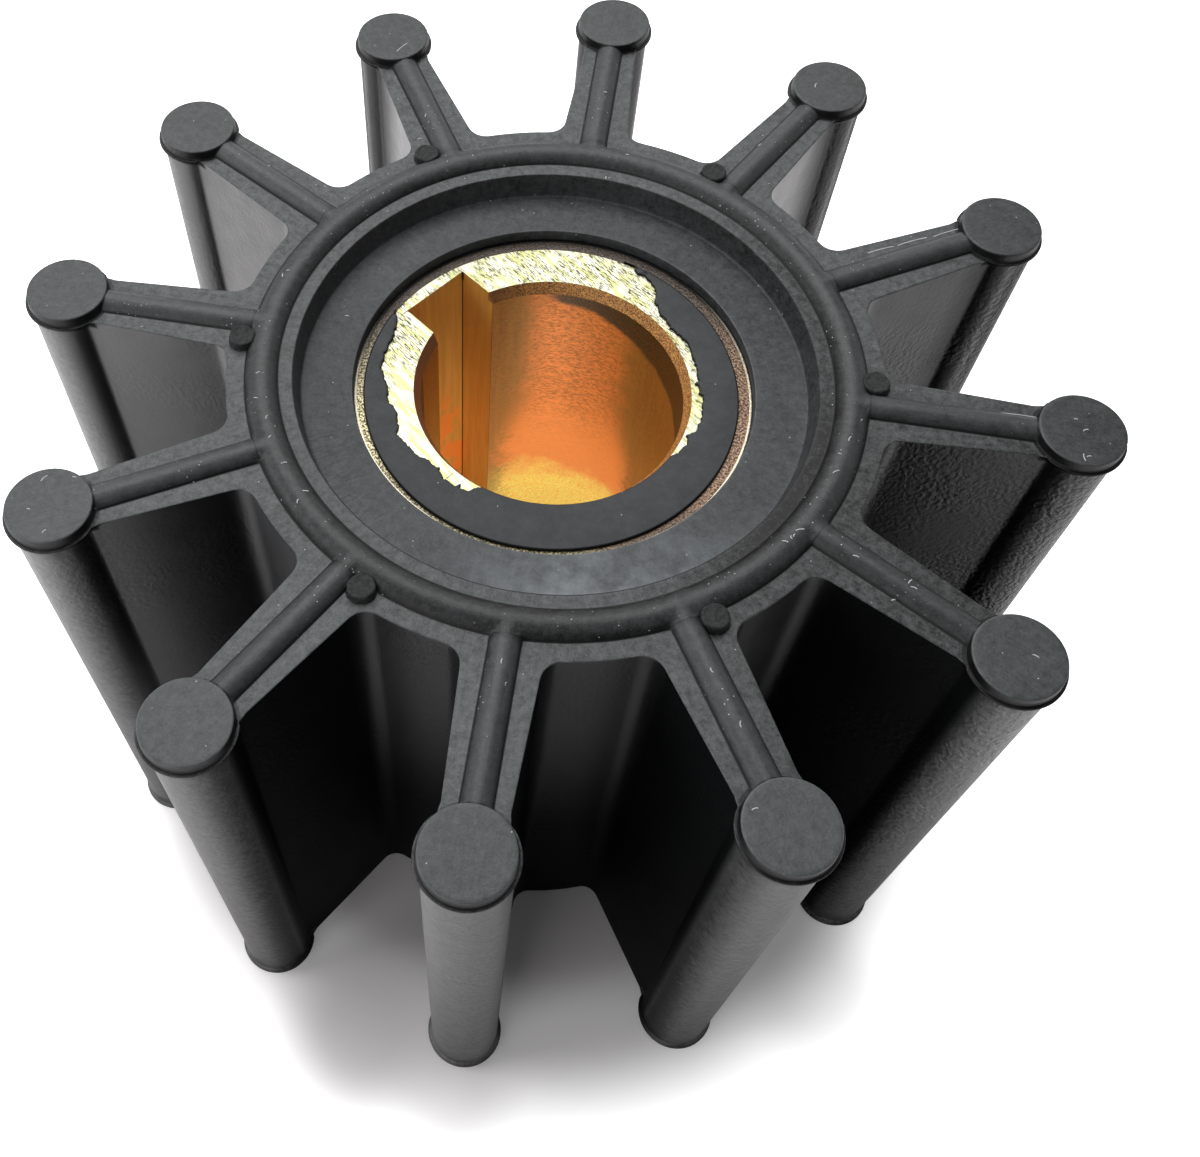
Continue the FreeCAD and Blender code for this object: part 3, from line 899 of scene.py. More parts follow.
# %% The face's shader
def matt_face(skin):
    """The end faces: each form in its own grey, with painted light and shade by place, black painted
    shade on the discs' sides and in the creases, and strewn with white specks.
    """
    face = skin.mix(skin.raised, WEB_GREY, BEAD_GREY)
    face = skin.mix(skin.on_disc * skin.raised, face, DISC_GREY)
    disc_side = skin.rise(skin.from_bulb, DISC_RADIUS - 0.07, DISC_RADIUS - 0.03) * skin.on_disc
    disc_side = disc_side * skin.fall(skin.level, DISC_HEIGHT - 0.2, DISC_HEIGHT - 0.1)
    # Painted shade: the discs' sides are black.
    face = skin.mix(disc_side * skin.on_face, face, SHADE_BLACK)
    # Painted shade in the creases.
    face = skin.mix(crease_shade(skin), face, CREASE_SHADE_BLACK)
    face = skin.mix(skin.in_recess, face, RECESS_GREY)
    face = skin.mix(skin.in_recess * skin.at_recess_floor, face, FLOOR_GREY)
    face = skin.shaded(face, face_shade(skin))
    face = skin.mix(dust(skin, 1.1, 0.5), face, DUST_WHITE)
    crowded = skin.on_bead * skin.rise(skin.noise(5), 0.42, 0.6)
    face = skin.mix(dust(skin, 0.5, 0.6) * crowded, face, DUST_WHITE)
    rough = 0.55 + (skin.blots - 0.5) * 0.2 - skin.raised * 0.08
    marks = skin.grain * 0.02 + skin.mottle * 0.02 + skin.streaks * 0.012
    return skin.shader(
        Base_Color=face, Roughness=rough, Specular_IOR_Level=0.4, Normal=skin.bump(marks)
    )


print("the face's roughness: about 0.55, a little smoother on the beads")

# %% [markdown]
# ## The leathery wall
# The flanks and bulbs came from a part of the tool that wasn't polished, so they shine in small
# lumps. Their greys carry painted light and shade: the bulbs' outer sides are painted pale, their
# sides towards the pockets and away from the light dark, and deep in the pockets the skin is
# painted black as shade and hardly shines. A gloss that is the same all over is set on the shader
# itself, so there are two shaders, a glossy and a matt one, and a mask says which of them shows
# where.

# %% The wall's colour
def find_wall_sides(skin):
    """Masks for painted light and shade on the wall: the side away from the light, the bulbs' sides
    towards and away from the pockets, the near pockets and the hub.
    """
    away = (skin.along - TIP_CIRCLE) / (skin.from_bulb + 0.01)
    away = skin.rise(away, 0.3, 0.9) * skin.rise(skin.y, -4, 30) * skin.on_bulb
    # Painted shade: the side of the wall away from the light.
    lee = skin.rise(skin.x, 5, 30) * skin.rise(skin.y, -34, 4)
    skin.lee = lee.math("MAXIMUM", skin.rise(skin.y, 10, 32) * 0.95) * (1 - away * 0.75)
    # Painted shade on the bulbs' sides turned towards the pockets, painted light on those turned out.
    skin.turned_in = skin.fall(skin.outwards, -0.95, 0.05) * skin.on_bulb
    skin.turned_out = skin.rise(skin.outwards, 0.3, 0.95) * skin.on_bulb * (1 - skin.lee)
    skin.near_pocket = skin.fall(skin.y, -16, -6) * skin.rise(skin.x, -36, -20)
    skin.on_hub = skin.fall(skin.radius, HUB_RADIUS + 0.3, HUB_RADIUS + 2.2)
    skin.on_hub = skin.on_hub * skin.rise(skin.z, 22, 56)
    return skin


def wall_colour(skin):
    """The wall's grey with painted light and shade: palest on the outer sides of the bulbs, dark
    towards the pockets, on the side away from the light and under the lips, darker towards the bottom,
    black low in the near pockets, with a pale strip on the hub at the left.
    """
    wall = skin.mix(skin.on_hub, FLANK_SHADE_GREY, HUB_LIT_GREY)
    wall = skin.mix(skin.on_bulb, wall, BULB_LIT_GREY)
    worn = skin.noise(0.5, 3.0, 0.8) + skin.noise(1.3, 3.0, 0.75) - 1
    # Painted shadow under the lips and painted shade deep in the near pockets.
    under_lip_shadow = skin.rise(skin.level, -2.4, -0.7) * skin.on_bulb * skin.upper
    deep = skin.near_pocket * skin.fall(skin.z, 12, 50) * (1 - skin.on_bulb)
    light = (skin.blots - 0.5) * 0.6 + worn * skin.on_bulb * 1.1 + 1.15 - skin.lee * 0.9
    light = light - skin.fall(skin.z, 0, 52) * 0.65 - deep * 0.7 - under_lip_shadow * 0.45
    light = light - skin.turned_in * 0.75 + skin.turned_out * 0.5
    # Painted reflection: a pale strip on the hub at the left.
    light = light + skin.on_hub * skin.fall(skin.x, -26, -8) * 2.5
    wall = skin.shaded(wall, light.math("MAXIMUM", skin.on_bulb * 0.14))
    # Painted shadow: a black band under each upper lip.
    gap = skin.band(skin.level, -0.8, -0.3, 0.12) * skin.on_bulb * skin.upper
    return skin.mix(gap, wall, SHADE_BLACK)


print("greys of the wall: flank, hub and bulb")


# %% The wall's two shaders
def matt_share(skin):
    """Where the wall is matt: the pockets, the far bulbs, their inner sides and the upper lips."""
    off_bulb = 1 - skin.on_bulb
    pocket = skin.near_pocket * (1 - skin.on_hub * 0.5)
    pocket = pocket.math("MAXIMUM", skin.rise(skin.x, 12, 34) * 0.55) * off_bulb
    beside = skin.fall(skin.from_bulb, BULB_RADIUS + 0.5, BULB_RADIUS + 8) * off_bulb
    beside = beside * skin.rise(skin.y, 0, 20) * skin.rise(skin.x, -34, -22) * 0.7
    far_bulb = skin.on_bulb * skin.lee * (skin.rise(skin.y, 6, 30) * 0.35 + 0.65)
    round_lip = skin.rise(skin.level, -1.0, -0.6) * skin.lip * skin.upper * 0.95
    share = pocket
    for other in (beside, far_bulb, skin.turned_in * 0.85, round_lip):
        share = share.math("MAXIMUM", other)
    return share


def leathery_wall(skin):
    """The wall: a glossy and a matt shader with one colour and one relief."""
    find_wall_sides(skin)
    wall = wall_colour(skin)
    patches = skin.rise(skin.noise(14), 0.4, 0.65)
    relief = leather(skin, 0.55) * (skin.on_bulb * 0.6 + patches * 0.5 + 0.15)
    lumpy = skin.bump(relief * (0.045 + skin.right * 0.14) + skin.grain * 0.01)
    rough = 0.36 + (skin.blots - 0.5) * 0.2 + skin.on_bulb * (0.08 - skin.lee * 0.2)
    glossy = skin.shader(
        Base_Color=wall, Roughness=rough, Specular_IOR_Level=0.85, Normal=lumpy
    )
    matt = skin.shader(Base_Color=wall, Roughness=0.5, Specular_IOR_Level=0.03, Normal=lumpy)
    walls = {0: matt_share(skin), 1: glossy, 2: matt}
    return skin.node("ShaderNodeMixShader", None, walls)[0]


def rubber_finish():
    """The rubber of the moulding: a matt face and recess, and a leathery wall."""
    skin = find_forms(find_place(Finish("moulded_rubber")))
    on_wall = (1 - skin.on_face) * (1 - skin.in_recess)
    return skin.end(on_wall, matt_face(skin), leathery_wall(skin))


rubber = rubber_finish()
print("rubber finish:", len(rubber.node_tree.nodes), "nodes")

# %% [markdown]
# ## The moulding in its place
# The tree makes the whole moulding from one sector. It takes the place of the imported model's
# moulding and rides on the same body.

# %% The moulding
moulding = run_tree(
    add_object("impeller_moulding", sector), repeat_round, repeat_names,
    Copies=VANE_COUNT, Seam=0.004 * MM, Unevenness=0.04 * MM, Wave_length=9 * MM, Seed=4,
    Finish=rubber,
)
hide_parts("rubber_moulding")
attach(moulding, "root")
print("moulding:", len(moulding.data.vertices), "vertices,", len(moulding.data.polygons), "faces")

# %% [markdown]
# ## Gate stubs
# Rubber was pushed into the mould through six small gates beside every second vane. When the
# moulding was pulled off, each gate tore and left a short stub with a rough top. One stub is a
# small turned shape whose top is broken up with noise, and the same tree repeats it six times.
# Its unevenness is larger here and its waves shorter, so that no two stubs are the same.

# %% One stub beside the vane on +X
STUB_COUNT = 6
STUB_RADIUS = 1.15
STUB_HEIGHT = 0.75
STUB_PAST_BEAD = 0.45
STUB_ASIDE = 2.2
STUB_SECTION = [
    (0, 0.96), (0.25, 0.94), (0.5, 0.97), (0.72, 0.93), (0.9, 1.0), (1.02, 1.02), (1.1, 0.96),
    (STUB_RADIUS, 0.84), (STUB_RADIUS, 0.4), (STUB_RADIUS + 0.03, 0.12), (STUB_RADIUS + 0.14, 0.0),
    (STUB_RADIUS + 0.16, -0.25),
]
STUB_SIDES = 40


def turned_mesh(name, section, sides, centre):
    """Closed mesh turned from a section of (radius, height), in millimetres."""
    vertices, faces = [], []
    for radius, height in section:
        for step in range(sides):
            angle = 2 * math.pi * step / sides
            x, y = centre[0] + radius * math.cos(angle), centre[1] + radius * math.sin(angle)
            vertices.append((x * MM, y * MM, height * MM))
    for row in range(len(section) - 1):
        for step in range(sides):
            a, b = row * sides + step, row * sides + (step + 1) % sides
            faces.append((b, a, a + sides, b + sides))
    last = (len(section) - 1) * sides
    faces.append(tuple(last + step for step in reversed(range(sides))))
    mesh = bpy.data.meshes.new(name)
    mesh.from_pydata(vertices, [], faces)
    work = bmesh.new()
    work.from_mesh(mesh)
    bmesh.ops.remove_doubles(work, verts=work.verts, dist=0.001 * MM)
    bmesh.ops.recalc_face_normals(work, faces=work.faces)
    work.to_mesh(mesh)
    work.free()
    return mesh


def torn_rubber_finish():
    """Fresh, rough rubber, darker than the moulded skin."""
    tear = Finish("torn_rubber")
    lumps = tear.noise(0.35, 4.0, 0.7)
    colour = tear.mix(tear.rise(lumps, 0.35, 0.7), paint("0b0c0c"), paint("2e3031"))
    return tear.surface(Base_Color=colour, Roughness=0.7, Normal=tear.bump(lumps * 0.12))


stub_place = (RING_BEAD_RADIUS + RING_BEAD[0] / 2 + STUB_PAST_BEAD, STUB_ASIDE)
stub_section = [(r, WEB + STUB_HEIGHT * h) for r, h in STUB_SECTION]
stubs = run_tree(
    add_object("gate_stubs", turned_mesh("stub", stub_section, STUB_SIDES, stub_place)),
    repeat_round, repeat_names,
    Copies=STUB_COUNT, Seam=0.0005 * MM, Unevenness=0.3 * MM, Wave_length=0.45 * MM, Seed=11,
    Finish=torn_rubber_finish(),
)
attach(stubs, "root")
print("stubs:", len(stubs.data.polygons), "faces")

# %% [markdown]
# ## Lint
# Short fibres lie on the used rubber, and four longer white fibres along two beads are painted
# highlights. Each is listed as X, Y, its length and the way that it points, in degrees, and the
# face's own formula says how high it lies. A small tree bends one fibre, puts a copy at each place
# and lets it stray a little from its listed way.

# %% Fibres where they lie
FIBRE_RADIUS = 0.05
FIBRE_FLATNESS = 0.45
LINT_AND_GLINTS = [
    (-20.81, 36.63, 1.6, 60), (20.72, 38.06, 0.6, 80), (44.04, -2.83, 0.7, 100),
    (44.4, -2.7, 0.4, 20), (44.29, -0.06, 0.5, 30), (43.56, 0.94, 0.3, 0), (39.33, -21.87, 0.5, -20),
    (19.42, -37.49, 0.5, 30), (-39.35, -19.67, 0.7, 60), (-36.96, -19.15, 0.3, 0),
    (-39.63, -22.74, 0.3, 0), (-37.67, -24.49, 0.4, 60), (25.18, -4.25, 0.5, 70),
    (24.15, -7.74, 0.6, 40), (21.52, -13.8, 0.7, 20), (21.1, -14.4, 0.3, 70), (20.4, -15.1, 0.5, 0),
    (20.9, -14.6, 0.3, 120), (25.94, -15.42, 0.5, -10), (30.1, -17.04, 0.6, 60),
    (30.4, -17.5, 0.5, -15), (29.12, -18.37, 0.4, 20), (-22.95, -10.47, 0.4, 80),
    (-22.19, -12.41, 0.3, 60), (-20.42, -14.73, 0.5, 30), (-18.16, -17.1, 0.7, 10),
    (-18.41, -18.12, 0.4, 90), (-24.36, -8.71, 0.4, 0), (-24.86, -6.1, 0.4, 45),
    (-25.42, 5.03, 0.5, 100), (-25.1, 5.6, 0.3, 30), (0.28, 33.7, 0.4, 0), (15.87, 29.31, 0.5, 50),
    (3.39, 25.37, 0.3, 0), (1.76, 22.93, 0.3, 90), (-16.72, 25.07, 0.4, 20), (-16.61, 27.62, 0.5, 80),
    (15.61, -27.21, 0.4, 120), (18.03, -31.16, 0.5, 100), (0.05, -29.24, 0.4, 90),
    (0.63, -30.97, 0.3, 80), (-19.51, 3.98, 0.4, 0), (24.4, -5.9, 0.3, 0), (26.1, -2.1, 0.3, 60),
    # Painted highlights: the four long white fibres on the next line lie along the beads of the vanes
    # on +X and at 30°, where the light catches them.
    (39.3, 1.3, 3.0, -1), (27.6, 18.15, 2.6, 28), (30.4, 19.65, 3.0, 28), (33.7, 21.4, 3.2, 28),
    (-30.2, 18.4, 0.3, 0),
]


def height_at(x, y):
    """Height of the moulding's upper side at a place anywhere on the wheel."""
    if math.hypot(x, y) < RECESS_RIM:
        return WEB - RECESS_DEPTH
    turn = round(math.atan2(y, x) / (2 * HALF_SECTOR)) * 2 * HALF_SECTOR
    along = x * math.cos(turn) + y * math.sin(turn)
    aside = y * math.cos(turn) - x * math.sin(turn)
    return WEB + float(face_height(np.array([along]), np.array([aside]))[0])


def lint_tree():
    """Tree that puts a fibre at each point of a mesh, by the attributes "size" and "turn"."""
    tree, names = new_tree(
        "lint_and_glints", Places="Geometry", Fibre_radius="Float", Flatness="Float", Bend="Float",
        Stray="Float", Seed="Int", Finish="Material",
    )
    graph = Graph(tree)
    given = graph.node("NodeGroupInput")
    middle = graph.node("ShaderNodeCombineXYZ", None, {"Y": given["Bend"]})["Vector"]
    start, end = (-0.5 * MM, 0.0, 0.0), (0.5 * MM, 0.0, 0.0)
    arc = graph.node(
        "GeometryNodeCurveQuadraticBezier", None,
        {"Resolution": 6, "Start": start, "Middle": middle, "End": end},
    )[0]
    ring = graph.node(
        "GeometryNodeCurvePrimitiveCircle", None, {"Resolution": 6, "Radius": given["Fibre radius"]}
    )["Curve"]
    fibre = graph.node(
        "GeometryNodeCurveToMesh", None, {"Curve": arc, "Profile Curve": ring, "Fill Caps": True}
    )[0]
    number = {"data_type": "FLOAT"}
    size, turn = [
        graph.node("GeometryNodeInputNamedAttribute", number, {"Name": name})["Attribute"]
        for name in ("size", "turn")
    ]
    chance_range = {"Min": -1.0, "Max": 1.0, "Seed": given["Seed"]}
    chance = graph.node("FunctionNodeRandomValue", number, chance_range)["Value"]
    way = turn + chance * given["Stray"]
    turned = graph.node("ShaderNodeCombineXYZ", None, {"Z": way})["Vector"]
    stretched = {"X": size, "Y": 1.0, "Z": given["Flatness"]}
    scale = graph.node("ShaderNodeCombineXYZ", None, stretched)["Vector"]
    placed = graph.node(
        "GeometryNodeInstanceOnPoints", None,
        {"Points": given["Places"], "Instance": fibre, "Rotation": turned, "Scale": scale},
    )["Instances"]
    joined = graph.node("GeometryNodeRealizeInstances", None, {0: placed})["Geometry"]
    finished = graph.node(
        "GeometryNodeSetMaterial", None, {"Geometry": joined, "Material": given["Finish"]}
    )["Geometry"]
    graph.node("NodeGroupOutput", None, {"Result": finished})
    return tree, names


def lint_places():
    """Mesh of points where the fibres lie, each with its length and the way that it points."""
    mesh = bpy.data.meshes.new("lint_and_glints")
    mesh.from_pydata([(x * MM, y * MM, height_at(x, y) * MM) for x, y, _, _ in LINT_AND_GLINTS], [], [])
    lengths = mesh.attributes.new("size", "FLOAT", "POINT")
    lengths.data.foreach_set("value", [length for _, _, length, _ in LINT_AND_GLINTS])
    ways = mesh.attributes.new("turn", "FLOAT", "POINT")
    ways.data.foreach_set("value", [math.radians(way) for *_, way in LINT_AND_GLINTS])
    return mesh


def lint_finish():
    fluff = Finish("lint_and_glints")
    return fluff.surface(Base_Color=DUST_WHITE, Roughness=0.8)


lint_nodes, lint_names = lint_tree()
lint_and_glints = run_tree(
    add_object("lint_and_glints", lint_places()), lint_nodes, lint_names,
    Fibre_radius=FIBRE_RADIUS * MM, Flatness=FIBRE_FLATNESS, Bend=0.12 * MM, Stray=0.05, Seed=5,
    Finish=lint_finish(),
)
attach(lint_and_glints, "root")
print("lint:", len(LINT_AND_GLINTS), "fibres,", len(lint_and_glints.data.polygons), "faces")

# %% [markdown]
# ## The film on the brass
# When the rubber was moulded, a thin film crept over the bush's end face. It has been torn away
# round the keyway and along the bore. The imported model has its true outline, so the tear is read
# from there: the film's upper corners give its inner edge as a radius for each angle. Noise then
# frays that edge, and a row of sections from the edge to the rim makes a closed skin.

# %% The film's edge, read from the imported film
FILM_STEP = math.radians(0.3)
FILM_SHIFT = math.radians(240)
FILM_RIM = film_high.x / MM
FILM_OFFSET = 0.3
FRAY_START, FRAY_REACH, RIM_REACH = 0.05, 0.3, 0.4
FILM_TOP, FILM_FOOT = film_high.z / MM, film_low.z / MM


def film_extent():
    """Sorted angles and radii of the tear, from one end of the film round to the other."""
    top = [v.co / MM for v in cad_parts["torn_face_film"].data.vertices]
    top = [c for c in top if c.z > FILM_TOP - 0.01]
    places = sorted({(round(math.atan2(c.y, c.x), 4), round(math.hypot(c.x, c.y), 3)) for c in top})
    rim = [angle for angle, radius in places if radius > FILM_RIM - 0.02]
    gaps = [(b - a, b) for a, b in zip(rim, rim[1:])]
    start = max(gaps)[1]
    tear = [(angle, radius) for angle, radius in places if radius < FILM_RIM - 0.02]
    tear = sorted(((angle - start) % (2 * math.pi), radius) for angle, radius in tear)
    end = max((angle - start) % (2 * math.pi) for angle in rim)
    return start, [(0.0, FILM_RIM)] + tear + [(end, FILM_RIM)]


def fray(angle, radius):
    """How far the tear strays at a place: small waves, and now and then a sharp tongue."""
    spot = Vector((math.cos(angle), math.sin(angle), 0.3)) * radius
    wave = noise.noise(spot * 1.1) * 0.22 + noise.noise(spot * 3.2) * 0.14
    wave += noise.noise(spot * 9) * 0.05
    tongue = max(0.0, noise.noise(spot * 2.1 + Vector((7, 3, 1))) - 0.42) * 1.3
    return wave - tongue


def film_rim(angle):
    """Outer radius of the film, which was moulded a little off the middle."""
    return FILM_RIM + FILM_OFFSET * math.cos(angle - FILM_SHIFT)


def film_section(width):
    """The film from its tear to its rim: places outwards, each with its share of the height."""
    return [
        (0, 0), (0, 0.35), (0.04, 0.75), (0.12, 0.93), (0.3, 1), (0.5 * width, 1),
        (width - 0.16, 1), (width - 0.05, 0.95), (width, 0.75), (width, 0),
    ]


def film_mesh():
    """Closed skin of the film: a section at each angle, from the frayed tear to the rim."""
    start, tear = film_extent()
    angles = np.arange(0, tear[-1][0] + FILM_STEP, FILM_STEP)
    edge = np.interp(angles, *zip(*tear))
    bore_edge = min(radius for _, radius in tear)
    vertices = []
    for turn, inner in zip(angles, edge):
        torn = min(1.0, max(0.0, (inner - bore_edge - FRAY_START) / FRAY_REACH))
        torn *= min(1.0, (FILM_RIM - inner) / RIM_REACH)
        inner = max(bore_edge, inner + fray(start + turn, inner) * torn)
        rim = film_rim(start + turn)
        inner = min(inner, rim)
        width, thick = rim - inner, FILM_TOP - FILM_FOOT
        for outwards, height in film_section(width):
            radius = inner + min(max(outwards, 0), width)
            place = (radius * math.cos(start + turn), radius * math.sin(start + turn))
            vertices.append((place[0] * MM, place[1] * MM, (FILM_FOOT + thick * height) * MM))
    rows = len(film_section(0))
    faces = list(grid_faces(len(angles), rows))
    faces += [
        (i * rows, i * rows + rows - 1, (i + 1) * rows + rows - 1, (i + 1) * rows)
        for i in range(len(angles) - 1)
    ]
    mesh = bpy.data.meshes.new("film")
    mesh.from_pydata(vertices, [], faces)
    work = bmesh.new()
    work.from_mesh(mesh)
    bmesh.ops.remove_doubles(work, verts=work.verts, dist=0.002 * MM)
    bmesh.ops.dissolve_degenerate(work, edges=work.edges, dist=0.001 * MM)
    bmesh.ops.recalc_face_normals(work, faces=work.faces)
    for face in work.faces:
        face.smooth = True
    work.to_mesh(mesh)
    work.free()
    mesh.materials.append(film_finish())
    return mesh


def film_finish():
    """Smooth, even rubber skin, with its outer edge and sides painted black as shade."""
    skin = find_place(Finish("film_rubber"))
    blots = skin.noise(1.6, 4.0, 0.6)
    grain = skin.noise(0.16, 2.0, 0.6)
    colour = skin.mix(skin.rise(blots, 0.3, 0.75), paint("323436"), paint("3d4042"))
    shifted = (skin.turn - FILM_SHIFT).math("COSINE") * FILM_OFFSET
    outer = skin.rise(skin.radius - shifted, FILM_RIM - 0.16, FILM_RIM - 0.1)
    edge = outer.math("MAXIMUM", skin.fall(skin.z, FILM_TOP - 0.09, FILM_TOP - 0.04))
    colour = skin.shaded(colour, (grain - 0.5) * 0.7 + 1.0)
    # Painted shade: the film's outer edge and sides black.
    colour = skin.mix(edge, colour, SHADE_BLACK)
    colour = skin.mix(dust(skin, 1.3, 0.35), colour, DUST_WHITE)
    return skin.surface(
        Base_Color=colour, Roughness=0.6, Specular_IOR_Level=0.35, Normal=skin.bump(grain * 0.01)
    )


film = add_object("torn_film", film_mesh())
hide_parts("torn_face_film")
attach(film, "root")
print("film:", len(film.data.polygons), "faces")

# %% [markdown]
# ## The brass bush
# The bush keeps the imported model's own mesh: it is all turned faces, so only its skin is dressed.
# The upper face was faced off and then scratched, and rubber still sits in the scratches near
# the torn film. The narrow ring outside the film is grainy, with painted shade on its far and near
# sides and a painted highlight line and a shade line at its edge. The bore and the keyway are painted
# orange, yellow and brown for the light and shade in them, over fine marks of the boring tool
# round the wall.

# %% Places on the bush
BORE_RADIUS = 11.75
CHAMFER_RADIUS = 12.35
CHAMFER_DEPTH = 1.1
KEYWAY_FLOOR = 15.4
KEYWAY_WIDTH = 7.0
KEYWAY_ANGLE = math.radians(143.1)
BRASS_TOP = brass_high.z / MM


def find_bush_places(metal):
    """Depth under the upper face, the keyway's own axes, and the noise that the skins share."""
    cosine, sine = math.cos(KEYWAY_ANGLE), math.sin(KEYWAY_ANGLE)
    metal.depth = BRASS_TOP - metal.z
    metal.key_out = metal.x * cosine + metal.y * sine
    metal.key_aside = metal.y * cosine - metal.x * sine
    metal.on_face = metal.fall(metal.depth, 0.01, 0.04)
    metal.grain = metal.noise(0.14, 3.0, 0.7)
    metal.sand = metal.noise(0.2, 2.0, 0.6)
    metal.patch = metal.noise(3.5, 5.0, 0.7)
    drawn_down = metal.vector(metal.x, metal.y, metal.z * 0.06)
    metal.key_streaks = metal.noise(0.6, 3.0, 0.6, at=drawn_down)
    return metal


print("bore radius:", BORE_RADIUS, "keyway floor:", KEYWAY_FLOOR)


# %% The brass material
def scratches(metal, angle, size, length):
    """Long thin noise from 0 to 1 that runs across the face at an angle."""
    cosine, sine = math.cos(angle), math.sin(angle)
    lengthways = metal.x * cosine + metal.y * sine
    across = metal.y * cosine - metal.x * sine
    return metal.noise(size, 3.0, 0.6, at=metal.vector(lengthways / length, across, metal.z))


def scratched_face(metal):
    """The faced-off end: pale brass, with rubber in its scratches and pits near the tear."""
    near_tear = metal.rise(metal.noise(2.2), 0.34, 0.5) * metal.rise(metal.y, -7, 3)
    metal.lines = metal.rise(scratches(metal, -0.7, 0.1, 8), 0.55, 0.6) * near_tear
    wide = metal.rise(scratches(metal, -0.6, 0.2, 6), 0.58, 0.63) * near_tear
    cross = metal.rise(scratches(metal, 0.95, 0.2, 12), 0.67, 0.71)
    pits = metal.rise(metal.noise(0.3, 3.0, 0.7), 0.66, 0.72)
    smeared = metal.rise(scratches(metal, -0.75, 0.5, 5), 0.42, 0.6)
    face = metal.mix(smeared, paint("dfdcc8"), paint("c4c484"))
    marked = metal.lines.math("MAXIMUM", wide).math("MAXIMUM", cross).math("MAXIMUM", pits)
    return metal.mix(marked, face, paint("2e2a16"))


def bare_ring(metal):
    """The grainy ring outside the film: gold, pink at the right, with painted shade dulling its far and
    near sides, and a painted highlight line and a black painted shade line at its outer edge.
    """
    far_shade = metal.rise(metal.y * 0.8 - metal.x * 0.25, -3, 9)
    gold = metal.mix(metal.rise(metal.sand, 0.46, 0.56), paint("4a3e1e"), paint("ece0b0"))
    pink = metal.mix(metal.rise(metal.sand, 0.4, 0.62), paint("3a2a1e"), paint("a8866a"))
    gold = metal.mix(metal.rise(metal.x, 2, 10), gold, pink)
    # Painted shade: the near side darker.
    gold = metal.mix(metal.fall(metal.y, -13, -8) * 0.6, gold, paint("2a241a"))
    # A painted highlight line near the outer edge, and black painted shade at the edge itself.
    line = metal.radius + metal.fall(metal.y, -15, -9) * 0.2
    gold = metal.mix(metal.band(line, 17.4, 17.56, 0.06), gold, paint("e8e0c8"))
    gold = metal.mix(metal.rise(line, 17.58, 17.62), gold, paint("100d09"))
    # Painted shade: the far side dull, and black on its outer half.
    dull = metal.mix(metal.rise(metal.sand, 0.4, 0.7), paint("2a231c"), paint("5e5146"))
    dull = metal.mix(metal.rise(metal.radius, 17.25, 17.35), dull, paint("0a0908"))
    return metal.mix(far_shade, gold, dull)


def bore_marks_and_light(metal):
    """The bore, with light and shade painted over the marks of the boring tool: orange where the walls
    throw light back, yellow with sparks far down where the light falls, ochre and brown as shade at the
    sides and one dark crescent of shade.
    """
    angle, patch = metal.turn, metal.patch
    marks = metal.noise(0.3, 4.0, 0.75, at=metal.vector(metal.x * 0.6, metal.y * 0.6, metal.z * 1.4))
    orange = metal.mix(metal.rise(marks, 0.35, 0.62), paint("b0661e"), paint("f69440"))
    # Painted light: smooth bright orange down the wall and yellow far down.
    smooth = metal.rise(metal.depth + (patch - 0.5) * 14, 14, 26) * 0.85
    orange = metal.mix(smooth, orange, paint("f69646"))
    yellow = metal.rise(metal.depth + (patch - 0.5) * 8, 28, 33)
    sparks = metal.mix(metal.rise(metal.grain, 0.38, 0.55), paint("ffb428"), paint("fff07c"))
    bore = metal.mix(yellow, orange, sparks)
    # Painted shade: brown and ochre towards the sides, darker at the right.
    off_middle = (angle - math.radians(82)).math("ABSOLUTE") - smooth * 0.25
    brown = metal.rise(off_middle + (patch - 0.5) * 0.5 + (marks - 0.5) * 0.5, 0.26, 0.56)
    ochre = metal.mix(metal.rise(metal.key_streaks, 0.2, 0.8), paint("7a5c18"), paint("947226"))
    ochre = metal.shaded(ochre, 1 - metal.fall(angle, 0.7, 1.15) * 0.25)
    bore = metal.mix(brown * 0.75, bore, ochre)
    # Painted shade: a dark crescent under the chamfer at the right.
    edge = metal.depth - (math.radians(104) - angle) * 3.2 + (patch - 0.5) * 2
    dark_crescent = metal.fall(edge, 1.0, 1.8) * metal.fall(angle, math.radians(92), math.radians(104))
    dark_sand = metal.mix(metal.rise(metal.grain, 0.4, 0.65), paint("33220a"), paint("6e4c18"))
    return metal.mix(dark_crescent, bore, dark_sand)


def streaked_keyway(metal):
    """The keyway: streaked from top to bottom, with one corner painted black as shade and painted
    orange light deep on its floor.
    """
    keyway = metal.mix(metal.rise(metal.key_streaks, 0.2, 0.8), paint("c8903c"), paint("dca850"))
    # Painted light: orange deep down on the keyway's floor.
    glow = metal.rise(metal.depth, 14, 22) * metal.rise(metal.patch, 0.45, 0.55)
    glow = glow * metal.rise(metal.key_out, KEYWAY_FLOOR - 0.3, KEYWAY_FLOOR - 0.1)
    keyway = metal.mix(glow, keyway, paint("f08c34"))
    # Painted shade: one inner corner black, a little wider near the top.
    from_side = (metal.key_aside + KEYWAY_WIDTH / 2).math("ABSOLUTE")
    corner = metal.fall(from_side, 0.03, 0.1)
    corner = corner * metal.rise(metal.key_out, KEYWAY_FLOOR - 0.12, KEYWAY_FLOOR - 0.05)
    corner_top = metal.fall(from_side, 0.1, 0.2) * metal.fall(metal.depth, 1.0, 1.3)
    corner_top = corner_top * metal.rise(metal.key_out, KEYWAY_FLOOR - 0.25, KEYWAY_FLOOR - 0.1)
    return metal.mix(corner.math("MAXIMUM", corner_top), keyway, paint("1a1004"))


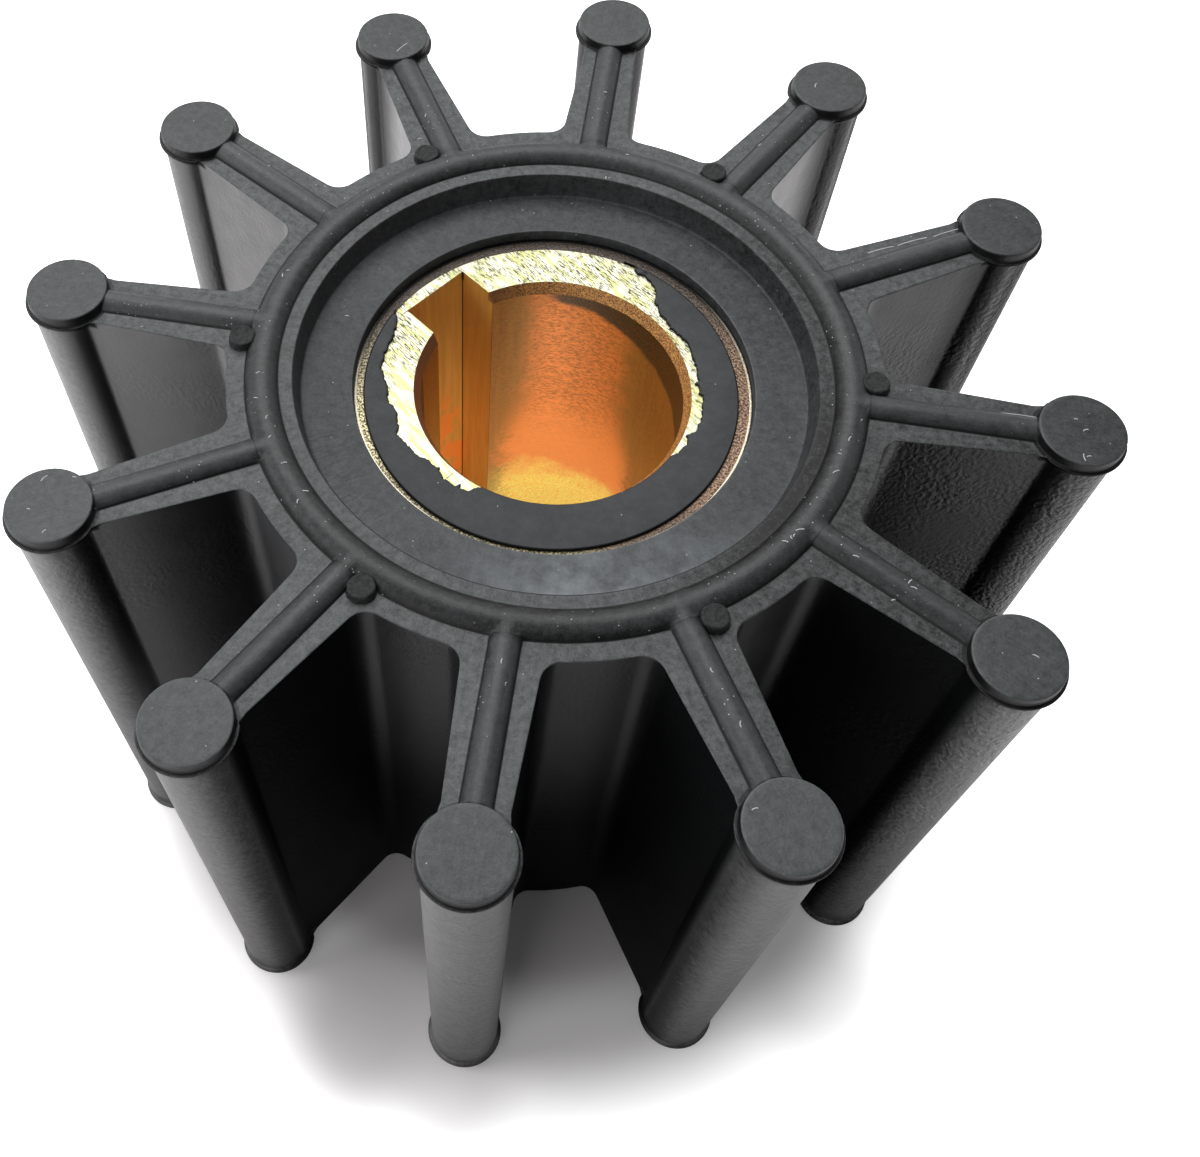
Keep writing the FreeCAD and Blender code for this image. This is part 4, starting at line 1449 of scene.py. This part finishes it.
def brass_finish():
    """The bush's one material, with a skin for its end face, ring, chamfer, bore and keyway."""
    metal = find_bush_places(find_place(Finish("machined_brass")))
    in_keyway = metal.rise(metal.radius, BORE_RADIUS + 0.05, BORE_RADIUS + 0.12)
    from_middle = metal.radius - (metal.turn - FILM_SHIFT).math("COSINE") * FILM_OFFSET
    outer_ring = metal.rise(from_middle, FILM_RIM - 0.08, FILM_RIM - 0.04)
    on_cone = metal.fall(metal.depth, CHAMFER_DEPTH - 0.02, CHAMFER_DEPTH + 0.02)
    on_cone = on_cone * (1 - metal.on_face)
    on_cone = on_cone * metal.fall(metal.radius, CHAMFER_RADIUS + 0.03, CHAMFER_RADIUS + 0.08)
    chamfer = metal.mix(metal.rise(metal.grain, 0.42, 0.58), paint("7e5230"), paint("e8ac62"))
    # Painted shade: the chamfer darker at the left.
    chamfer = metal.mix(metal.fall(metal.x, -9, -2), chamfer, paint("8a5c3c"))
    face = metal.mix(outer_ring, scratched_face(metal), bare_ring(metal))
    colour = metal.mix(in_keyway, bore_marks_and_light(metal), streaked_keyway(metal))
    colour = metal.mix(on_cone, colour, chamfer)
    colour = metal.mix(metal.on_face, colour, face)
    rough = 0.5 - metal.on_face * 0.12 + (metal.grain - 0.5) * 0.25
    face_marks = (outer_ring * metal.sand * 0.06 - metal.lines * 0.02) * metal.on_face
    relief = metal.bump(metal.grain * 0.006 + face_marks)
    return metal.surface(
        Base_Color=colour, Metallic=0.3 + metal.on_face * 0.1, Roughness=rough, Normal=relief
    )


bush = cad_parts["brass_insert"]
brass = brass_finish()
for slot_number in range(len(bush.material_slots)):
    bush.material_slots[slot_number].material = brass
print("bush:", len(bush.data.polygons), "faces")

# %% [markdown]
# ## Floor and light
# The wheel stands on a white sheet in a white room. A large soft lamp behind it, a little to the
# left, shines over the far vanes, so the near walls lie in the dark, deepened by painted shade on
# the rubber, and the floor between the near bulbs keeps the wheel's shadow, with painted shadow
# added in three places. Weaker lamps at the left, in front and at the right model the bulbs. A
# small lamp hidden in the bore, below its near rim, stands for the light that a bright brass wall
# throws back. Further out the floor glows white for the camera and in reflections, but it throws
# none of that light on the wheel.

# %% The stage
FLOOR_SIZE = 3.0


def distance_to(sheet, x, y):
    """Distance on the floor from a place in millimetres."""
    aside, ahead = sheet.x - x, sheet.y - y
    return (aside * aside + ahead * ahead) ** 0.5


def floor_finish():
    """A white sheet that glows, except where the wheel's shadow lies and in three spots of painted
    shadow near the bulbs.
    """
    sheet = find_place(Finish("pale_floor"))
    lit = sheet.node("ShaderNodeBsdfDiffuse", None, {"Color": (0.35, 0.35, 0.35, 1)})["BSDF"]
    paper = sheet.node("ShaderNodeBsdfDiffuse", None, {"Color": (0.98, 0.94, 0.96, 1)})["BSDF"]
    ray = sheet.node("ShaderNodeLightPath")
    # Reflections see the glow far out, and on the floor below the bore.
    beyond = sheet.rise(distance_to(sheet, 0, -24), 56, 90)
    beyond = beyond.math("MAXIMUM", sheet.fall(sheet.radius, 11, 13))
    # The camera sees it all round the wheel, but less of it in three places near the bulbs: painted
    # shadow.
    reach = distance_to(sheet, 1, -6)
    around = sheet.rise(reach, 39, 51) * 0.88 + sheet.rise(reach, 30, 37) * 0.12
    around = around * (1 - sheet.fall(distance_to(sheet, -11, -46), 3, 12) * 0.8)
    around = around * (1 - sheet.fall(distance_to(sheet, 0, -50), 2, 9) * 0.4)
    around = around * (1 - sheet.fall(distance_to(sheet, 37, -33), 3, 10) * 0.28)
    away = around * ray["Is Camera Ray"] + beyond * ray["Is Glossy Ray"]
    glow = sheet.node("ShaderNodeEmission", None, {"Color": (1, 1, 1, 1), "Strength": away})[0]
    both = sheet.node("ShaderNodeAddShader", None, {0: paper, 1: glow})[0]
    seen = ray["Is Camera Ray"].math("MAXIMUM", ray["Is Glossy Ray"])
    return sheet.end(seen, lit, both)


def make_floor():
    half = FLOOR_SIZE / 2
    mesh = bpy.data.meshes.new("floor")
    corners = [(-half, -half, 0), (half, -half, 0), (half, half, 0), (-half, half, 0)]
    mesh.from_pydata(corners, [], [(0, 1, 2, 3)])
    floor = add_object("floor", mesh)
    floor.data.materials.append(floor_finish())
    return floor


def make_world(light, dark):
    """A dim room. The camera sees it white, and reflections see it white low on the far side."""
    world = bpy.data.worlds.new("room")
    world.use_nodes = True
    bpy.context.scene.world = world
    room = Graph(world.node_tree)
    ray = room.node("ShaderNodeLightPath")
    seen = ray["Is Camera Ray"].math("MAXIMUM", ray["Is Glossy Ray"])
    seen = seen.math("MAXIMUM", ray["Is Transmission Ray"])
    way = room.node("ShaderNodeTexCoord")["Generated"]
    way = room.node("ShaderNodeSeparateXYZ", None, {0: way})
    low = {"Value": way["Z"], "From Min": 0.2, "From Max": 0.6, "To Min": 1.0, "To Max": 0.0}
    far = {"Value": way["Y"], "From Min": -0.4, "From Max": 0.3}
    low = room.node("ShaderNodeMapRange", None, low)["Result"]
    far = room.node("ShaderNodeMapRange", None, far)["Result"]
    white = (low * far * (1 - dark) + dark).math("MAXIMUM", ray["Is Camera Ray"])
    strength = seen * (white - light) + light
    back = room.node("ShaderNodeBackground", None, {"Color": (1, 1, 1, 1), "Strength": strength})[0]
    room.node("ShaderNodeOutputWorld", None, {"Surface": back})


def towards(azimuth, elevation, distance):
    """A place that far away, at an angle counted from +X and a height angle, in degrees."""
    azimuth, elevation = math.radians(azimuth), math.radians(elevation)
    level = math.cos(elevation)
    away = Vector((math.cos(azimuth) * level, math.sin(azimuth) * level, math.sin(elevation)))
    return MIDDLE + away * distance


def add_lamp(name, place, target, level, width, colour=(1, 1, 1)):
    """A square soft light. At level 1 a white sheet at the target shows as white."""
    data = bpy.data.lights.new(name, "AREA")
    data.shape = "RECTANGLE"
    data.size, data.size_y = width
    data.energy = level * math.pi**2 * (place - target).length_squared
    data.color = colour
    lamp = add_object(name, data)
    lamp.location = place
    lamp.rotation_mode = "QUATERNION"
    lamp.rotation_quaternion = (target - place).to_track_quat("-Z", "Y")
    return lamp


MIDDLE = Vector((0, 0, cad_high.z * 0.7))
make_floor()
make_world(0.02, 0.06)
add_lamp("behind", towards(110, 60, 0.55), MIDDLE, 0.95, (0.5, 0.4))
add_lamp("left", towards(192, 30, 0.55), MIDDLE, 0.31, (0.3, 0.3))
add_lamp("front", towards(245, 20, 0.4), MIDDLE, 0.22, (0.25, 0.2))
add_lamp("right", towards(300, 65, 0.55), MIDDLE, 0.06, (0.3, 0.3))
bore_lamp, bore_wall = Vector((2, -10, 30)) * MM, Vector((-1, 11.75, 29)) * MM
add_lamp("in the bore", bore_lamp, bore_wall, 0.85, (12 * MM, 18 * MM), (1, 0.95, 0.8))

# %% [markdown]
# ## The view
# Colours should come out as they are written, so the plain Standard view is set.

# %% Set the view
bpy.context.scene.view_settings.view_transform = "Standard"
